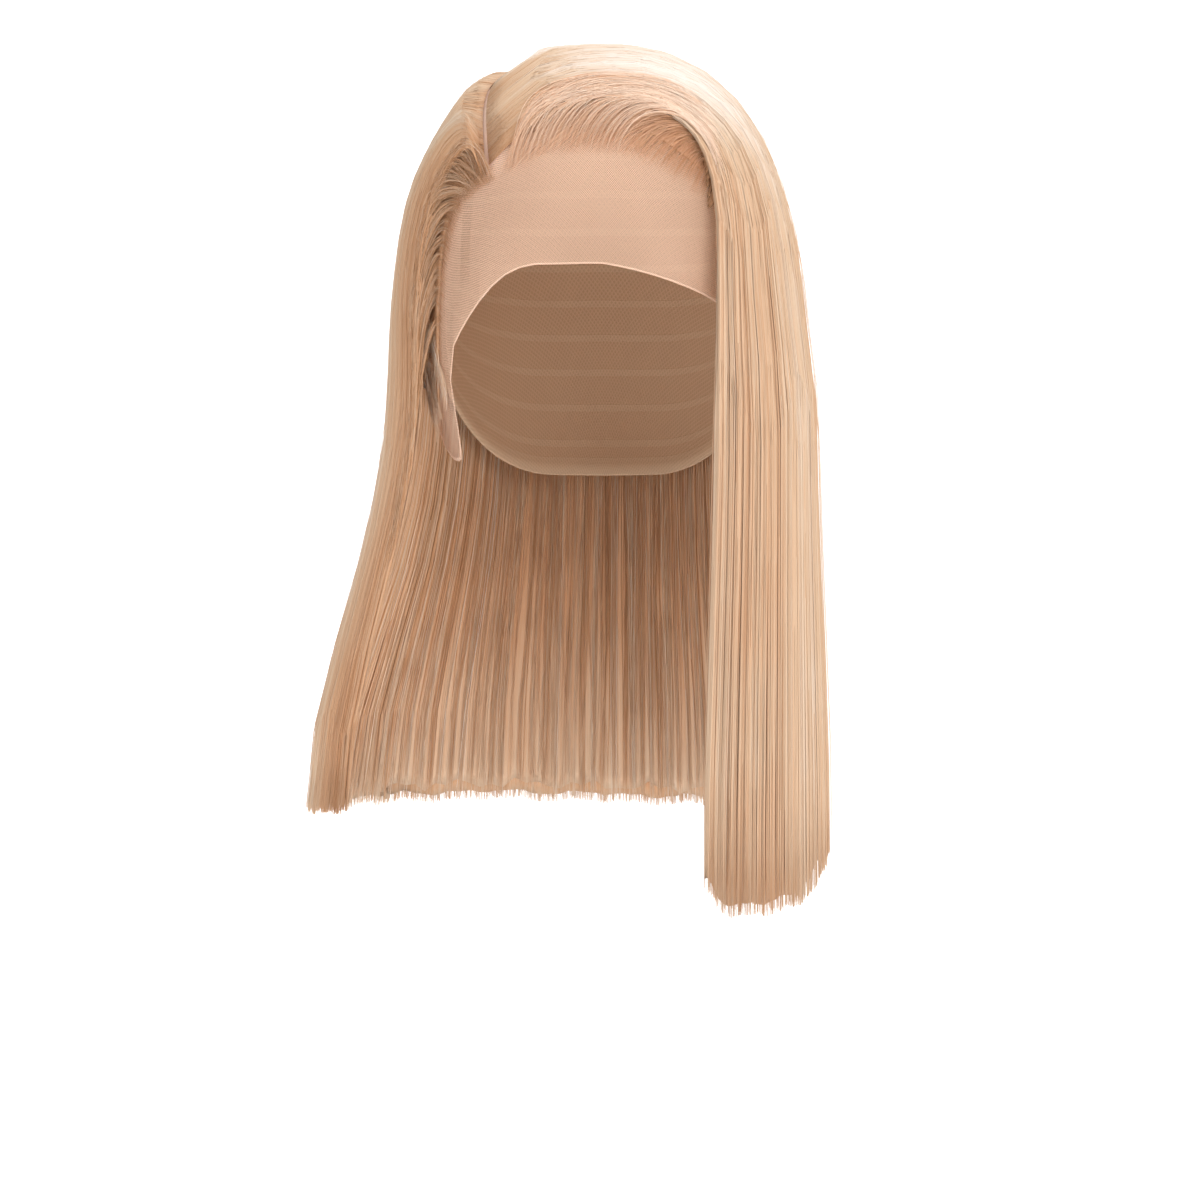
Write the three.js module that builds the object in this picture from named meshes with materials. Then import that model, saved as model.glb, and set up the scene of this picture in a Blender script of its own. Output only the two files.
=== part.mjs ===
// A side-parted lace-front bob wig, as it sits on a head.
// Millimetres, +Z up, and the face looks along -Y. The origin is the point where the crown of the head meets the lace.
// A turn is an angle in plan, measured from the front round by the wearer's right. A tilt is measured from straight up.

import * as THREE from "three";
import { mergeVertices } from "three/addons/utils/BufferGeometryUtils.js";

// The head that the wig is made for
const HEAD_BREADTH = 154;
const HEAD_FRONT_REACH = 96;
const HEAD_BACK_REACH = 94;
const CROWN_TO_TEMPLES = 110;
const TEMPLES_TO_THROAT = 108;
const HEAD_SQUARENESS = 2.5;

// Cloth walls and the gaps between pieces
const LACE_WALL = 1.0;
const CAP_WALL = 1.6;
const SEAM_GAP = 0.9;
const SEAT_GAP = 0.4;
const LAYER_GAP = 1.2;

// The outline of the combed hair
const HAIR_BREADTH = 190;
const HAIR_FRONT_REACH = 115;
const HAIR_BACK_REACH = 113;
const HAIR_ABOVE_CROWN = 4.8;
const CROWN_TO_WIDEST_HAIR = 140;
const HAIR_SHIFT_TO_RIGHT = 2;
const HAIR_SQUARENESS = 2.35;
const FALL = 225;

// The parting, in plan from the front hairline to the crown
const PARTING_START = { x: -47.5, y: -76 };
const PARTING_END = { x: -28, y: 12 };
const PARTING_BOW = 9;
const PARTING_WIDTH = 4;
const CROWN_WHORL_RADIUS = 4;
const WHORL_SHARE = 0.7;
const PARTING_ROLL = 12;

// The hair walls
const ROOT_THICKNESS = 1.8;
const LEAST_THICKNESS = 1.2;
const SKIRT_THICKNESS = 9;
const TIP_THICKNESS = 4;
const FREE_EDGE_THICKNESS = 5;
const FREE_EDGE_RUN = 0.08;
const LOCK_GROOVE = 1.5;
const LOCK_STEP = 4.5;
const LOCK_VARIETY = 2.4;
const SIDE_LOCKS = 9;
const BACK_LOCKS = 11;
const SWEEP_LOCKS = 13;
const NAPE_LOCKS = 13;
const NAPE_THICKNESS = 6;
const NAPE_TIP_THICKNESS = 3;
const NAPE_ROOT_DROP = 0.02;
const NAPE_LENGTH = 0.93;
const NAPE_FROM = 0.12;
const NAPE_TO = 0.78;
const HAIRLINE_THICKNESS = 2.2;
const HAIRLINE_ROOT_THICKNESS = 0.8;
const HAIRLINE_CLIMB = 10;
const HAIRLINE_FULL = 0.8;
const WAVES_THICKNESS = 2.2;
const WAVE_HEIGHT = 1.2;
const WAVE_COUNT = 15;
const WAVE_SLANT = 1.6;
const WAVES_FULL = { across: 0.3, down: 0.2 };

// One row for each strand that guides the long hair, from the wearer's right temple round the back to the left brow.
// turn: where it passes the widest level. parting: share of the parting where it is rooted. crest and crest_turn: the
// way that it climbs. pull: how strongly. reach: how far forward the hair comes there, as a share of HAIR_FRONT_REACH.
// sway_x and sway_y: how far the tip leans out, as shares of half HAIR_BREADTH. cut: its fall, as a share of FALL.
const GUIDES = [
  { turn: 52, parting: 0.0, crest: 13, crest_turn: 112, pull: 0.36, reach: 0.78, sway_x: -0.36, sway_y: 0.62, cut: 0.86 },
  { turn: 71, parting: 0.12, crest: 28, crest_turn: 98, pull: 0.72, reach: 0.84, sway_x: -0.38, sway_y: 0.45, cut: 0.86 },
  { turn: 96, parting: 0.34, crest: 44, crest_turn: 90, pull: 1.0, reach: 0.95, sway_x: -0.38, sway_y: 0.25, cut: 0.86 },
  { turn: 125, parting: 0.74, crest: 46, crest_turn: 125, pull: 1.0, reach: 1, sway_x: -0.25, sway_y: 0.05, cut: 0.86 },
  { turn: 160, parting: 1.0, crest: 46, crest_turn: 160, pull: 1.0, reach: 1, sway_x: -0.07, sway_y: -0.1, cut: 0.86 },
  { turn: 195, parting: 1.0, crest: 44, crest_turn: 195, pull: 1.0, reach: 1, sway_x: 0, sway_y: -0.12, cut: 0.87 },
  { turn: 230, parting: 0.84, crest: 38, crest_turn: 230, pull: 1.1, reach: 1, sway_x: 0.03, sway_y: -0.08, cut: 0.87 },
  { turn: 258, parting: 0.6, crest: 31, crest_turn: 258, pull: 1.2, reach: 1, sway_x: 0.05, sway_y: -0.02, cut: 0.88 },
  { turn: 283, parting: 0.36, crest: 27, crest_turn: 283, pull: 1.4, reach: 1, sway_x: 0.06, sway_y: 0, cut: 0.93 },
  { turn: 309, parting: 0.14, crest: 32, crest_turn: 307, pull: 1.9, reach: 1, sway_x: 0.01, sway_y: -0.02, cut: 1.01 },
  { turn: 334.7, parting: 0.0, crest: 38, crest_turn: 326, pull: 2.7, reach: 1, sway_x: -0.05, sway_y: 0.02, cut: 1.02 },
];

// The lace's free edge in front of the ears, as tilts about the middle of the head. right and left are the wearer's.
const LACE_EDGE = [
  { turn: 0, right: 84, left: 84 },
  { turn: 11, right: 84.5, left: 86.5 },
  { turn: 22, right: 84, left: 90 },
  { turn: 30, right: 90, left: 93 },
  { turn: 38, right: 98, left: 98 },
  { turn: 45, right: 105, left: 105 },
  { turn: 47, right: 111, left: 111 },
  { turn: 48.5, right: 126, left: 126 },
  { turn: 51, right: 131.5, left: 131.5 },
  { turn: 56, right: 133, left: 133 },
  { turn: 62, right: 133, left: 133 },
  { turn: 70, right: 130.5, left: 130.5 },
  { turn: 78, right: 122, left: 122 },
  { turn: 85, right: 112, left: 112 },
];

// Behind the ear tab the lace ends at a seam on the wefted cap, which goes on to its own rim at the ear and nape.
const CAP_EDGES = [
  { turn: 85, seam: 104, rim: 112 },
  { turn: 92, seam: 82, rim: 104 },
  { turn: 102, seam: 62, rim: 100 },
  { turn: 116, seam: 48, rim: 104 },
  { turn: 132, seam: 40, rim: 120 },
  { turn: 152, seam: 35, rim: 130 },
  { turn: 180, seam: 33, rim: 131 },
];

// The short hair of the front hairline, from the parting to the wearer's left temple: where it is rooted, which share
// of the sweep's front strand it runs towards, and by how many degrees it tucks in under that strand.
const HAIRLINE = [
  { turn: 26, tilt: 62, strand: 0.12, tuck: -1 },
  { turn: 15, tilt: 58.5, strand: 0.27, tuck: 0 },
  { turn: 2, tilt: 57.5, strand: 0.4, tuck: 2.5 },
  { turn: -10, tilt: 60, strand: 0.52, tuck: 5 },
  { turn: -20, tilt: 65, strand: 0.64, tuck: 6 },
  { turn: -31, tilt: 71, strand: 0.76, tuck: 6 },
];

// The waved hair of the right temple, from the parting down to the ear tab: where it is rooted on the lace, and which
// share of the side hair's front strand it runs in under.
const TEMPLE = [
  { turn: 28, tilt: 63.5, strand: 0.16 },
  { turn: 34, tilt: 65.5, strand: 0.32 },
  { turn: 40, tilt: 69, strand: 0.5 },
  { turn: 42.5, tilt: 75, strand: 0.66 },
  { turn: 45, tilt: 82, strand: 0.8 },
  { turn: 47, tilt: 91, strand: 0.96 },
  { turn: 49, tilt: 101, strand: 1.08 },
  { turn: 52, tilt: 110, strand: 1.18 },
];
const TEMPLE_TUCK = 0.035;

// Ranges along the long hair, in the way and side of onHair: where its front reach takes hold, where it comes off the
// cloth and hangs, where it thins to the tips, where the locks' grooves deepen and their tips step, and where it clears
// the short hair beneath it.
const REACH_HOLDS = 0.8;
const HANGS = { from: 0.6, to: 1 };
const THINS = { from: 1.2, to: 2 };
const GROOVES_DEEPEN = { from: 0.05, to: 0.6 };
const TIPS_STEP = { from: 1.5, to: 2 };
const NAPE_THINS_FROM = 1.4;
const OVER_HAIRLINE = { side: 0.84, fullSide: 0.94, way: 0.02, fullWay: 0.12 };
const OVER_TEMPLE = { side: 0.14, fullSide: 0.05, way: 0.03, fullWay: 0.2 };

// How finely each piece is divided
const SKIN_COLUMNS = 64;
const LACE_ROWS = 9;
const CAP_COLUMNS = 26;
const CAP_ROWS = 6;
const CLIMB_ROWS = [0, 0.05, 0.12, 0.2, 0.29, 0.38, 0.48, 0.58, 0.68, 0.78, 0.89, 1];
const FALL_ROWS = [0.13, 0.27, 0.42, 0.58, 0.74, 0.88, 1];
const COLUMNS_PER_LOCK = 2;
const HAIRLINE_COLUMNS = 22;
const HAIRLINE_ROWS = 5;
const ROWS_PER_WAVE = 3;
const TEMPLE_COLUMNS = 6;
const NAPE_ROWS = 9;
const TAB_CROWDING = 14;
const CAP_PAST_TAB = 3;
const SEARCH_STEPS = 22;
const SLOPE_STEP = 0.004;
const MERGE_WITHIN = 0.001;

const HALF_HEAD = HEAD_BREADTH / 2;
const HALF_HAIR = HAIR_BREADTH / 2;
const HEAD = {
  centre: new THREE.Vector3(0, 0, -CROWN_TO_TEMPLES),
  side: HALF_HEAD,
  front: HEAD_FRONT_REACH,
  back: HEAD_BACK_REACH,
  top: CROWN_TO_TEMPLES,
  bottom: TEMPLES_TO_THROAT,
  squareness: HEAD_SQUARENESS,
};
const HAIR = {
  centre: new THREE.Vector3(-HAIR_SHIFT_TO_RIGHT, 0, -CROWN_TO_WIDEST_HAIR),
  side: HALF_HAIR,
  front: HAIR_FRONT_REACH,
  back: HAIR_BACK_REACH,
  top: CROWN_TO_WIDEST_HAIR + HAIR_ABOVE_CROWN,
  bottom: FALL,
  squareness: HAIR_SQUARENESS,
};

const radians = THREE.MathUtils.degToRad;
const mix = THREE.MathUtils.lerp;
const ease = (from, to, x) => THREE.MathUtils.smoothstep(x, from, to);
const shares = (count) => Array.from({ length: count + 1 }, (_, k) => k / count);

// A table's columns at a share of the way down it, on a smooth curve through the rows.
function between(rows, share) {
  const last = rows.length - 1;
  const at = Math.min(Math.max(share, 0), 1) * last;
  const first = Math.min(Math.floor(at), last - 1);
  const t = at - first;
  const near = [first - 1, first, first + 1, first + 2].map((k) => rows[Math.min(Math.max(k, 0), last)]);
  const found = {};
  for (const name of Object.keys(rows[0])) {
    const [a, b, c, d] = near.map((row) => row[name]);
    found[name] = b + (t * (c - a + t * (2 * a - 5 * b + 4 * c - d + t * (3 * (b - c) + d - a)))) / 2;
  }
  return found;
}

// One column of a table whose rows stand at turns, with straight runs between the rows.
function atTurn(rows, name, turn) {
  const next = rows.findIndex((row) => row.turn >= turn);
  if (next === 0) return rows[0][name];
  if (next < 0) return rows[rows.length - 1][name];
  const [a, b] = [rows[next - 1], rows[next]];
  return mix(a[name], b[name], (turn - a.turn) / (b.turn - a.turn));
}

function direction(turn, tilt) {
  const [a, b] = [radians(turn), radians(tilt)];
  return new THREE.Vector3(-Math.sin(b) * Math.sin(a), -Math.sin(b) * Math.cos(a), Math.cos(b));
}

// How far an egg's surface is from its centre in a direction.
function eggRadius(egg, way) {
  const parts = [
    Math.abs(way.x) / egg.side,
    Math.abs(way.y) / (way.y < 0 ? egg.front : egg.back),
    Math.abs(way.z) / (way.z > 0 ? egg.top : egg.bottom),
  ];
  const sum = parts.reduce((total, part) => total + part ** egg.squareness, 0);
  return sum ** (-1 / egg.squareness);
}

function onHead(turn, tilt, above) {
  const way = direction(turn, tilt);
  return way.multiplyScalar(eggRadius(HEAD, way) + above).add(HEAD.centre);
}

// A point's height over the head, measured along the line from the middle of the head.
function heightOverHead(point) {
  const way = point.clone().sub(HEAD.centre);
  const far = way.length();
  return far - eggRadius(HEAD, way.divideScalar(far));
}

// The point at a height over the head that lies above or below a point.
function overHead(point, above) {
  const way = point.clone().sub(HEAD.centre).normalize();
  return way.multiplyScalar(eggRadius(HEAD, way) + above).add(HEAD.centre);
}

// A root beside the parting's line on the head, on the side that faces a turn.
function partingRoot(share, turn, half) {
  const x = mix(PARTING_START.x, PARTING_END.x, share) - PARTING_BOW * 4 * share * (1 - share);
  const y = mix(PARTING_START.y, PARTING_END.y, share);
  const facing = radians(Math.min(Math.max(turn, 90), 270));
  const [rootX, rootY] = [x - half * Math.sin(facing), y - half * Math.cos(facing)];
  const reach = rootY < 0 ? HEAD.front : HEAD.back;
  const left = 1 - Math.abs(rootX / HEAD.side) ** HEAD.squareness - Math.abs(rootY / reach) ** HEAD.squareness;
  return new THREE.Vector3(rootX, rootY, HEAD.centre.z + HEAD.top * left ** (1 / HEAD.squareness));
}

// A point on the outer surface of the long hair. side runs from 0 at the right temple round the back to 1 at the left
// brow. way runs from 0 at the parting to 1 at the widest level, and on to 2 at the tips.
function onHair(side, way) {
  const guide = between(GUIDES, side);
  const half = mix(PARTING_WIDTH / 2, CROWN_WHORL_RADIUS, ease(WHORL_SHARE, 1, guide.parting));
  const root = partingRoot(guide.parting, guide.turn, half).sub(HAIR.centre);
  const rootReach = root.length() + CAP_WALL + LAYER_GAP + ROOT_THICKNESS;
  const widest = direction(guide.turn, 90);
  const egg = { ...HAIR, front: HAIR.front * mix(1, guide.reach, ease(0, REACH_HOLDS, way)) };
  if (way <= 1) {
    const start = root.clone().normalize();
    const climb = start
      .clone()
      .multiplyScalar((1 - way) ** 2)
      .addScaledVector(direction(guide.crest_turn, guide.crest), 2 * guide.pull * way * (1 - way))
      .addScaledVector(widest, way ** 2)
      .normalize();
    const rise = ease(0, PARTING_ROLL, climb.angleTo(start) * rootReach);
    return climb.multiplyScalar(mix(rootReach, eggRadius(egg, climb), rise)).add(HAIR.centre);
  }
  const drop = way - 1;
  const lean = HALF_HAIR * ease(0, 1, drop);
  return widest
    .multiplyScalar(eggRadius(egg, widest))
    .add(HAIR.centre)
    .add(new THREE.Vector3(guide.sway_x * lean, guide.sway_y * lean, -guide.cut * FALL * drop));
}

// The outward normal of the long hair, from its slopes on both sides of a point.
function hairNormal(side, way) {
  const [a, b] = [Math.max(side - SLOPE_STEP, 0), Math.min(side + SLOPE_STEP, 1)];
  const [c, d] = [Math.max(way - SLOPE_STEP, 0), Math.min(way + SLOPE_STEP, 2)];
  const across = onHair(b, way).sub(onHair(a, way));
  const along = onHair(side, d).sub(onHair(side, c));
  return across.cross(along).normalize();
}

// How far a wall may go from a point before it is within a clearance of the head.
function roomToHead(point, into, clearance) {
  let [low, high] = [0, HALF_HAIR];
  for (let k = 0; k < SEARCH_STEPS; k++) {
    const middle = (low + high) / 2;
    if (heightOverHead(point.clone().addScaledVector(into, middle)) > clearance) low = middle;
    else high = middle;
  }
  return low;
}

// What the long hair leaves free over the head: the cap, and the short hair under its two front edges.
function clearanceUnder(side, way) {
  const full = (part) => {
    const beside = (side - part.side) / (part.fullSide - part.side);
    return ease(0, 1, beside) * ease(part.way, part.fullWay, way);
  };
  const overHairline = (HAIRLINE_THICKNESS + LAYER_GAP) * full(OVER_HAIRLINE);
  const overTemple = (WAVES_THICKNESS + WAVE_HEIGHT + LAYER_GAP) * full(OVER_TEMPLE);
  return CAP_WALL + LAYER_GAP + overHairline + overTemple;
}

// The wall of the long hair at a point: down to the cloth over the crown, and of an even depth below the temples.
function hairWall(side, way) {
  const point = onHair(side, way);
  const hanging = ease(HANGS.from, HANGS.to, way);
  const toHead = HEAD.centre.clone().sub(point).normalize();
  const into = toHead.lerp(hairNormal(side, way).negate(), hanging).normalize();
  const skirt = mix(SKIRT_THICKNESS, TIP_THICKNESS, ease(THINS.from, THINS.to, way));
  const room = Math.max(roomToHead(point, into, clearanceUnder(side, way)), LEAST_THICKNESS);
  const full = Math.min(room, mix(room, skirt, hanging));
  const free = Math.min(ease(0, FREE_EDGE_RUN, side), ease(0, FREE_EDGE_RUN, 1 - side));
  const depth = mix(Math.min(full, FREE_EDGE_THICKNESS), full, free);
  return { point, into, depth };
}

// A closed mesh from two grids of points, the outer skin and the inner, which have the same columns and rows.
function closedWall(outer, inner, goesRound = false) {
  const corners = [];
  const quad = (a, b, c, d) => corners.push(a, b, c, a, c, d);
  const columns = outer.length - 1;
  const rows = outer[0].length - 1;
  for (let i = 0; i < columns; i++) {
    for (let j = 0; j < rows; j++) {
      quad(outer[i][j], outer[i + 1][j], outer[i + 1][j + 1], outer[i][j + 1]);
      quad(inner[i][j], inner[i][j + 1], inner[i + 1][j + 1], inner[i + 1][j]);
    }
    quad(inner[i][0], inner[i + 1][0], outer[i + 1][0], outer[i][0]);
    quad(outer[i][rows], outer[i + 1][rows], inner[i + 1][rows], inner[i][rows]);
  }
  if (!goesRound) {
    for (let j = 0; j < rows; j++) {
      quad(inner[0][j], outer[0][j], outer[0][j + 1], inner[0][j + 1]);
      quad(outer[columns][j], inner[columns][j], inner[columns][j + 1], outer[columns][j + 1]);
    }
  }
  return facingOut(corners);
}

// Merges the corners, drops the triangles that a pole has closed up, and turns the faces outwards.
function facingOut(corners) {
  const merged = mergeVertices(new THREE.BufferGeometry().setFromPoints(corners), MERGE_WITHIN);
  const at = merged.getAttribute("position");
  const index = merged.index.array;
  const kept = [];
  let volume = 0;
  const [a, b, c] = [new THREE.Vector3(), new THREE.Vector3(), new THREE.Vector3()];
  for (let k = 0; k < index.length; k += 3) {
    const [i, j, l] = index.slice(k, k + 3);
    if (i === j || j === l || l === i) continue;
    kept.push([i, j, l]);
    a.fromBufferAttribute(at, i);
    b.fromBufferAttribute(at, j);
    c.fromBufferAttribute(at, l);
    volume += a.dot(b.cross(c));
  }
  merged.setIndex(kept.flatMap(([i, j, l]) => (volume > 0 ? [i, j, l] : [i, l, j])));
  merged.computeVertexNormals();
  return merged;
}

// A grid of points, one list for each column.
function grid(columns, rows, point) {
  return columns.map((column) => rows.map((row) => point(column, row)));
}

// Turns from -180 to 180, close together where the ear tabs need it.
const signedTurn = (share) => mix(-180, 180, share) + TAB_CROWDING * Math.sin(4 * Math.PI * share);

function laceTilt(turn) {
  const size = Math.abs(turn);
  if (size <= CAP_EDGES[0].turn) return atTurn(LACE_EDGE, turn > 0 ? "right" : "left", size);
  return atTurn(CAP_EDGES, "seam", size);
}

// The lace: a thin skin over the crown and forehead, down to an ear tab on each side.
function laceFront() {
  const skin = (above) =>
    grid(shares(SKIN_COLUMNS), shares(LACE_ROWS), (side, down) => {
      const turn = side === 1 ? -180 : signedTurn(side);
      return onHead(turn, laceTilt(turn) * down, above);
    });
  return closedWall(skin(LACE_WALL), skin(0), true);
}

// The largest tilt that the lace reaches at a turn, with its straight runs between its own columns.
function laceSeamBeside(size) {
  const turns = shares(SKIN_COLUMNS).map(signedTurn);
  const next = Math.max(turns.findIndex((turn) => turn >= size), 1);
  const [a, b] = [turns[next - 1], turns[next]];
  return Math.max(laceTilt(size), mix(laceTilt(a), laceTilt(b), (size - a) / (b - a)));
}

// The wefted cap: a band from the lace's seam round the back of the head to the nape.
function weftedCap() {
  const gap = THREE.MathUtils.radToDeg(SEAM_GAP / HALF_HEAD);
  const first = CAP_EDGES[0].turn + CAP_PAST_TAB;
  const skin = (above) =>
    grid(shares(CAP_COLUMNS), shares(CAP_ROWS), (side, down) => {
      const turn = mix(first, 360 - first, side);
      const size = Math.min(turn, 360 - turn);
      const seam = laceSeamBeside(size) + gap;
      return onHead(turn, mix(seam, atTurn(CAP_EDGES, "rim", size), down), above);
    });
  return closedWall(skin(CAP_WALL), skin(0));
}

// Long hair between two sides of the head, as locks side by side on one wall.
function longHair(from, to, locks) {
  const count = locks * COLUMNS_PER_LOCK;
  const rows = [...CLIMB_ROWS, ...FALL_ROWS.map((drop) => 1 + drop)];
  const outer = [];
  const inner = [];
  shares(count).forEach((share, column) => {
    const side = mix(from, to, share);
    const inGroove = column % COLUMNS_PER_LOCK === 0 && column > 0 && column < count;
    const shorter = inGroove ? LOCK_STEP : (LOCK_STEP * (1 + Math.sin(column * LOCK_VARIETY))) / 3;
    const skins = rows.map((row) => {
      const { point, into, depth } = hairWall(side, row);
      const deepening = ease(GROOVES_DEEPEN.from, GROOVES_DEEPEN.to, row);
      const groove = inGroove ? Math.min(LOCK_GROOVE, depth / 3) * deepening : 0;
      point.z += shorter * ease(TIPS_STEP.from, TIPS_STEP.to, row);
      return [point.clone().addScaledVector(into, groove), point.clone().addScaledVector(into, depth)];
    });
    outer.push(skins.map(([skin]) => skin));
    inner.push(skins.map(([, skin]) => skin));
  });
  return closedWall(outer, inner);
}

// The hair of the nape: it is rooted on the cap and hangs inside the back hair.
function napeHair(from, to, locks) {
  const columns = shares(locks * COLUMNS_PER_LOCK).map((share) => mix(from, to, share));
  const rows = shares(NAPE_ROWS).map((share) => 1 + mix(NAPE_ROOT_DROP, NAPE_LENGTH, share));
  const skin = (isInner) =>
    grid(columns, rows, (side, row) => {
      const { point, into, depth } = hairWall(side, row);
      const outerDepth = Math.max(depth, TIP_THICKNESS) + 2 * LAYER_GAP;
      const hanging = mix(NAPE_THICKNESS, NAPE_TIP_THICKNESS, ease(NAPE_THINS_FROM, 1 + NAPE_LENGTH, row));
      const room = roomToHead(point, into, CAP_WALL + LAYER_GAP) - outerDepth;
      const thickness = Math.max(Math.min(hanging, room), LEAST_THICKNESS);
      return point.addScaledVector(into, outerDepth + (isInner ? thickness : 0));
    });
  return closedWall(skin(false), skin(true));
}

// The short hair of the hairline, combed up from the lace and in under the sweep.
function hairlineHair() {
  const seat = LACE_WALL + SEAT_GAP;
  const skin = (height) =>
    grid(shares(HAIRLINE_COLUMNS), shares(HAIRLINE_ROWS), (side, up) => {
      const at = between(HAIRLINE, side);
      const goal = onHair(1, at.strand).sub(HEAD.centre).normalize();
      const tucked = goal.lerp(new THREE.Vector3(0, 0, 1), radians(at.tuck)).normalize();
      const way = direction(at.turn, at.tilt)
        .multiplyScalar((1 - up) ** 2)
        .addScaledVector(direction(at.turn, at.tilt - HAIRLINE_CLIMB), 2 * up * (1 - up))
        .addScaledVector(tucked, up ** 2)
        .normalize();
      return way.multiplyScalar(eggRadius(HEAD, way) + height(up)).add(HEAD.centre);
    });
  return closedWall(
    skin((up) => seat + mix(HAIRLINE_ROOT_THICKNESS, HAIRLINE_THICKNESS, ease(0, HAIRLINE_FULL, up))),
    skin(() => seat)
  );
}

// The waved hair of the right temple, which turns back from the hairline and in under the side hair.
function templeWaves() {
  const seat = LACE_WALL + SEAT_GAP;
  const rows = shares(WAVE_COUNT * ROWS_PER_WAVE);
  const skin = (isOuter) =>
    grid(shares(TEMPLE_COLUMNS), rows, (across, down) => {
      const at = between(TEMPLE, down);
      const root = onHead(at.turn, at.tilt, 0);
      const tuck = onHair(TEMPLE_TUCK, at.strand);
      const middle = root.lerp(tuck, across);
      const phase = 2 * Math.PI * (WAVE_COUNT * down + WAVE_SLANT * across * (1 - across));
      const full = ease(0, WAVES_FULL.across, across) * ease(0, WAVES_FULL.down, down);
      const wave = (WAVE_HEIGHT * (1 + Math.sin(phase)) * full) / 2;
      const thick = mix(HAIRLINE_ROOT_THICKNESS, WAVES_THICKNESS, full) + wave;
      return overHead(middle, seat + (isOuter ? thick : 0));
    });
  return closedWall(skin(true), skin(false));
}

const HAIR_LIGHT = new THREE.MeshStandardMaterial({ color: 0xe6cfae, roughness: 0.45, metalness: 0 });
const HAIR_GOLDEN = new THREE.MeshStandardMaterial({ color: 0xd2ab78, roughness: 0.5, metalness: 0 });
const LACE = new THREE.MeshStandardMaterial({ color: 0xe2b894, roughness: 0.8, metalness: 0 });
const NET = new THREE.MeshStandardMaterial({ color: 0xc9a077, roughness: 0.85, metalness: 0 });

const wig = new THREE.Group();

function piece(name, geometry, material) {
  const mesh = new THREE.Mesh(geometry, material);
  mesh.name = name;
  wig.add(mesh);
}

// Where the long hair is divided, as sides of the head
const SIDE_TO_BACK = 0.32;
const BACK_TO_SWEEP = 0.62;
const DIVIDE = 0.0012;

piece("lace_front", laceFront(), LACE);
piece("wefted_cap", weftedCap(), NET);
piece("side_hair", longHair(0, SIDE_TO_BACK - DIVIDE, SIDE_LOCKS), HAIR_GOLDEN);
piece("back_hair", longHair(SIDE_TO_BACK + DIVIDE, BACK_TO_SWEEP - DIVIDE, BACK_LOCKS), HAIR_LIGHT);
piece("sweep_hair", longHair(BACK_TO_SWEEP + DIVIDE, 1, SWEEP_LOCKS), HAIR_LIGHT);
piece("nape_hair", napeHair(NAPE_FROM, NAPE_TO, NAPE_LOCKS), HAIR_GOLDEN);
piece("hairline_hair", hairlineHair(), HAIR_GOLDEN);
piece("temple_waves", templeWaves(), HAIR_GOLDEN);

export default wig;
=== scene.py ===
"""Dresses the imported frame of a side-parted lace-front bob wig: lace, cap and hair, strand by strand."""

import math

import bmesh
import bpy
import numpy as np
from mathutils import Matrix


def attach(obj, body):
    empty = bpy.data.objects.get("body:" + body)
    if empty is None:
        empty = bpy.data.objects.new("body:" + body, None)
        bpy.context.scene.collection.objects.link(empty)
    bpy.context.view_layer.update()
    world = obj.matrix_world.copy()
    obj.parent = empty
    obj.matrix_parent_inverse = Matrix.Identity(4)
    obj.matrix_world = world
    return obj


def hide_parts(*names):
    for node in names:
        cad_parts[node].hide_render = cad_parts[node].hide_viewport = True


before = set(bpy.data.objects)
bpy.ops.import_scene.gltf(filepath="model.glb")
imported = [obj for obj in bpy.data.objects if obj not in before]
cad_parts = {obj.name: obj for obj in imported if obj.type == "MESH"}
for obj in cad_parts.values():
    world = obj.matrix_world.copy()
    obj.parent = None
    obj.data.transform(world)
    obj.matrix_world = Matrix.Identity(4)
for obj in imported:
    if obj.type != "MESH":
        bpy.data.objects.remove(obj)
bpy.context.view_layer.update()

bl_info = {
    "name": "Bob Wig",
    "version": (1, 0, 0),
    "blender": (4, 5, 0),
    "location": "3D View > Sidebar > Bob Wig",
    "description": "Lace, cap and combed hair for the packed frame of a bob wig",
    "category": "Add Mesh",
}

BODY = "root"
MM = 0.001
SEED = 41

# The sizes and tables below are those of the part's source, in millimetres.
HEAD_BREADTH = 154
HEAD_FRONT_REACH = 96
HEAD_BACK_REACH = 94
CROWN_TO_TEMPLES = 110
TEMPLES_TO_THROAT = 108
HEAD_SQUARENESS = 2.5
LACE_WALL = 1.0
CAP_WALL = 1.6
SEAM_GAP = 0.9
SEAT_GAP = 0.4
LAYER_GAP = 1.2
HAIR_BREADTH = 190
HAIR_FRONT_REACH = 115
HAIR_BACK_REACH = 113
HAIR_ABOVE_CROWN = 4.8
CROWN_TO_WIDEST_HAIR = 140
HAIR_SHIFT_TO_RIGHT = 2
HAIR_SQUARENESS = 2.35
FALL = 225
PARTING_START = (-47.5, -76)
PARTING_END = (-28, 12)
PARTING_BOW = 9
PARTING_WIDTH = 4
CROWN_WHORL_RADIUS = 4
WHORL_SHARE = 0.7
PARTING_ROLL = 12
ROOT_THICKNESS = 1.8
LEAST_THICKNESS = 1.2
SKIRT_THICKNESS = 9
TIP_THICKNESS = 4
FREE_EDGE_THICKNESS = 5
FREE_EDGE_RUN = 0.08
NAPE_THICKNESS = 6
NAPE_TIP_THICKNESS = 3
NAPE_ROOT_DROP = 0.02
NAPE_LENGTH = 0.93
NAPE_FROM = 0.12
NAPE_TO = 0.78
HAIRLINE_THICKNESS = 2.2
HAIRLINE_CLIMB = 10
WAVES_THICKNESS = 2.2
WAVE_HEIGHT = 1.2
TEMPLE_TUCK = 0.035
REACH_HOLDS = 0.8
SIDE_TO_BACK = 0.32
BACK_TO_SWEEP = 0.62
DIVIDE = 0.0012
TAB_CROWDING = 14
CAP_PAST_TAB = 3

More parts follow.
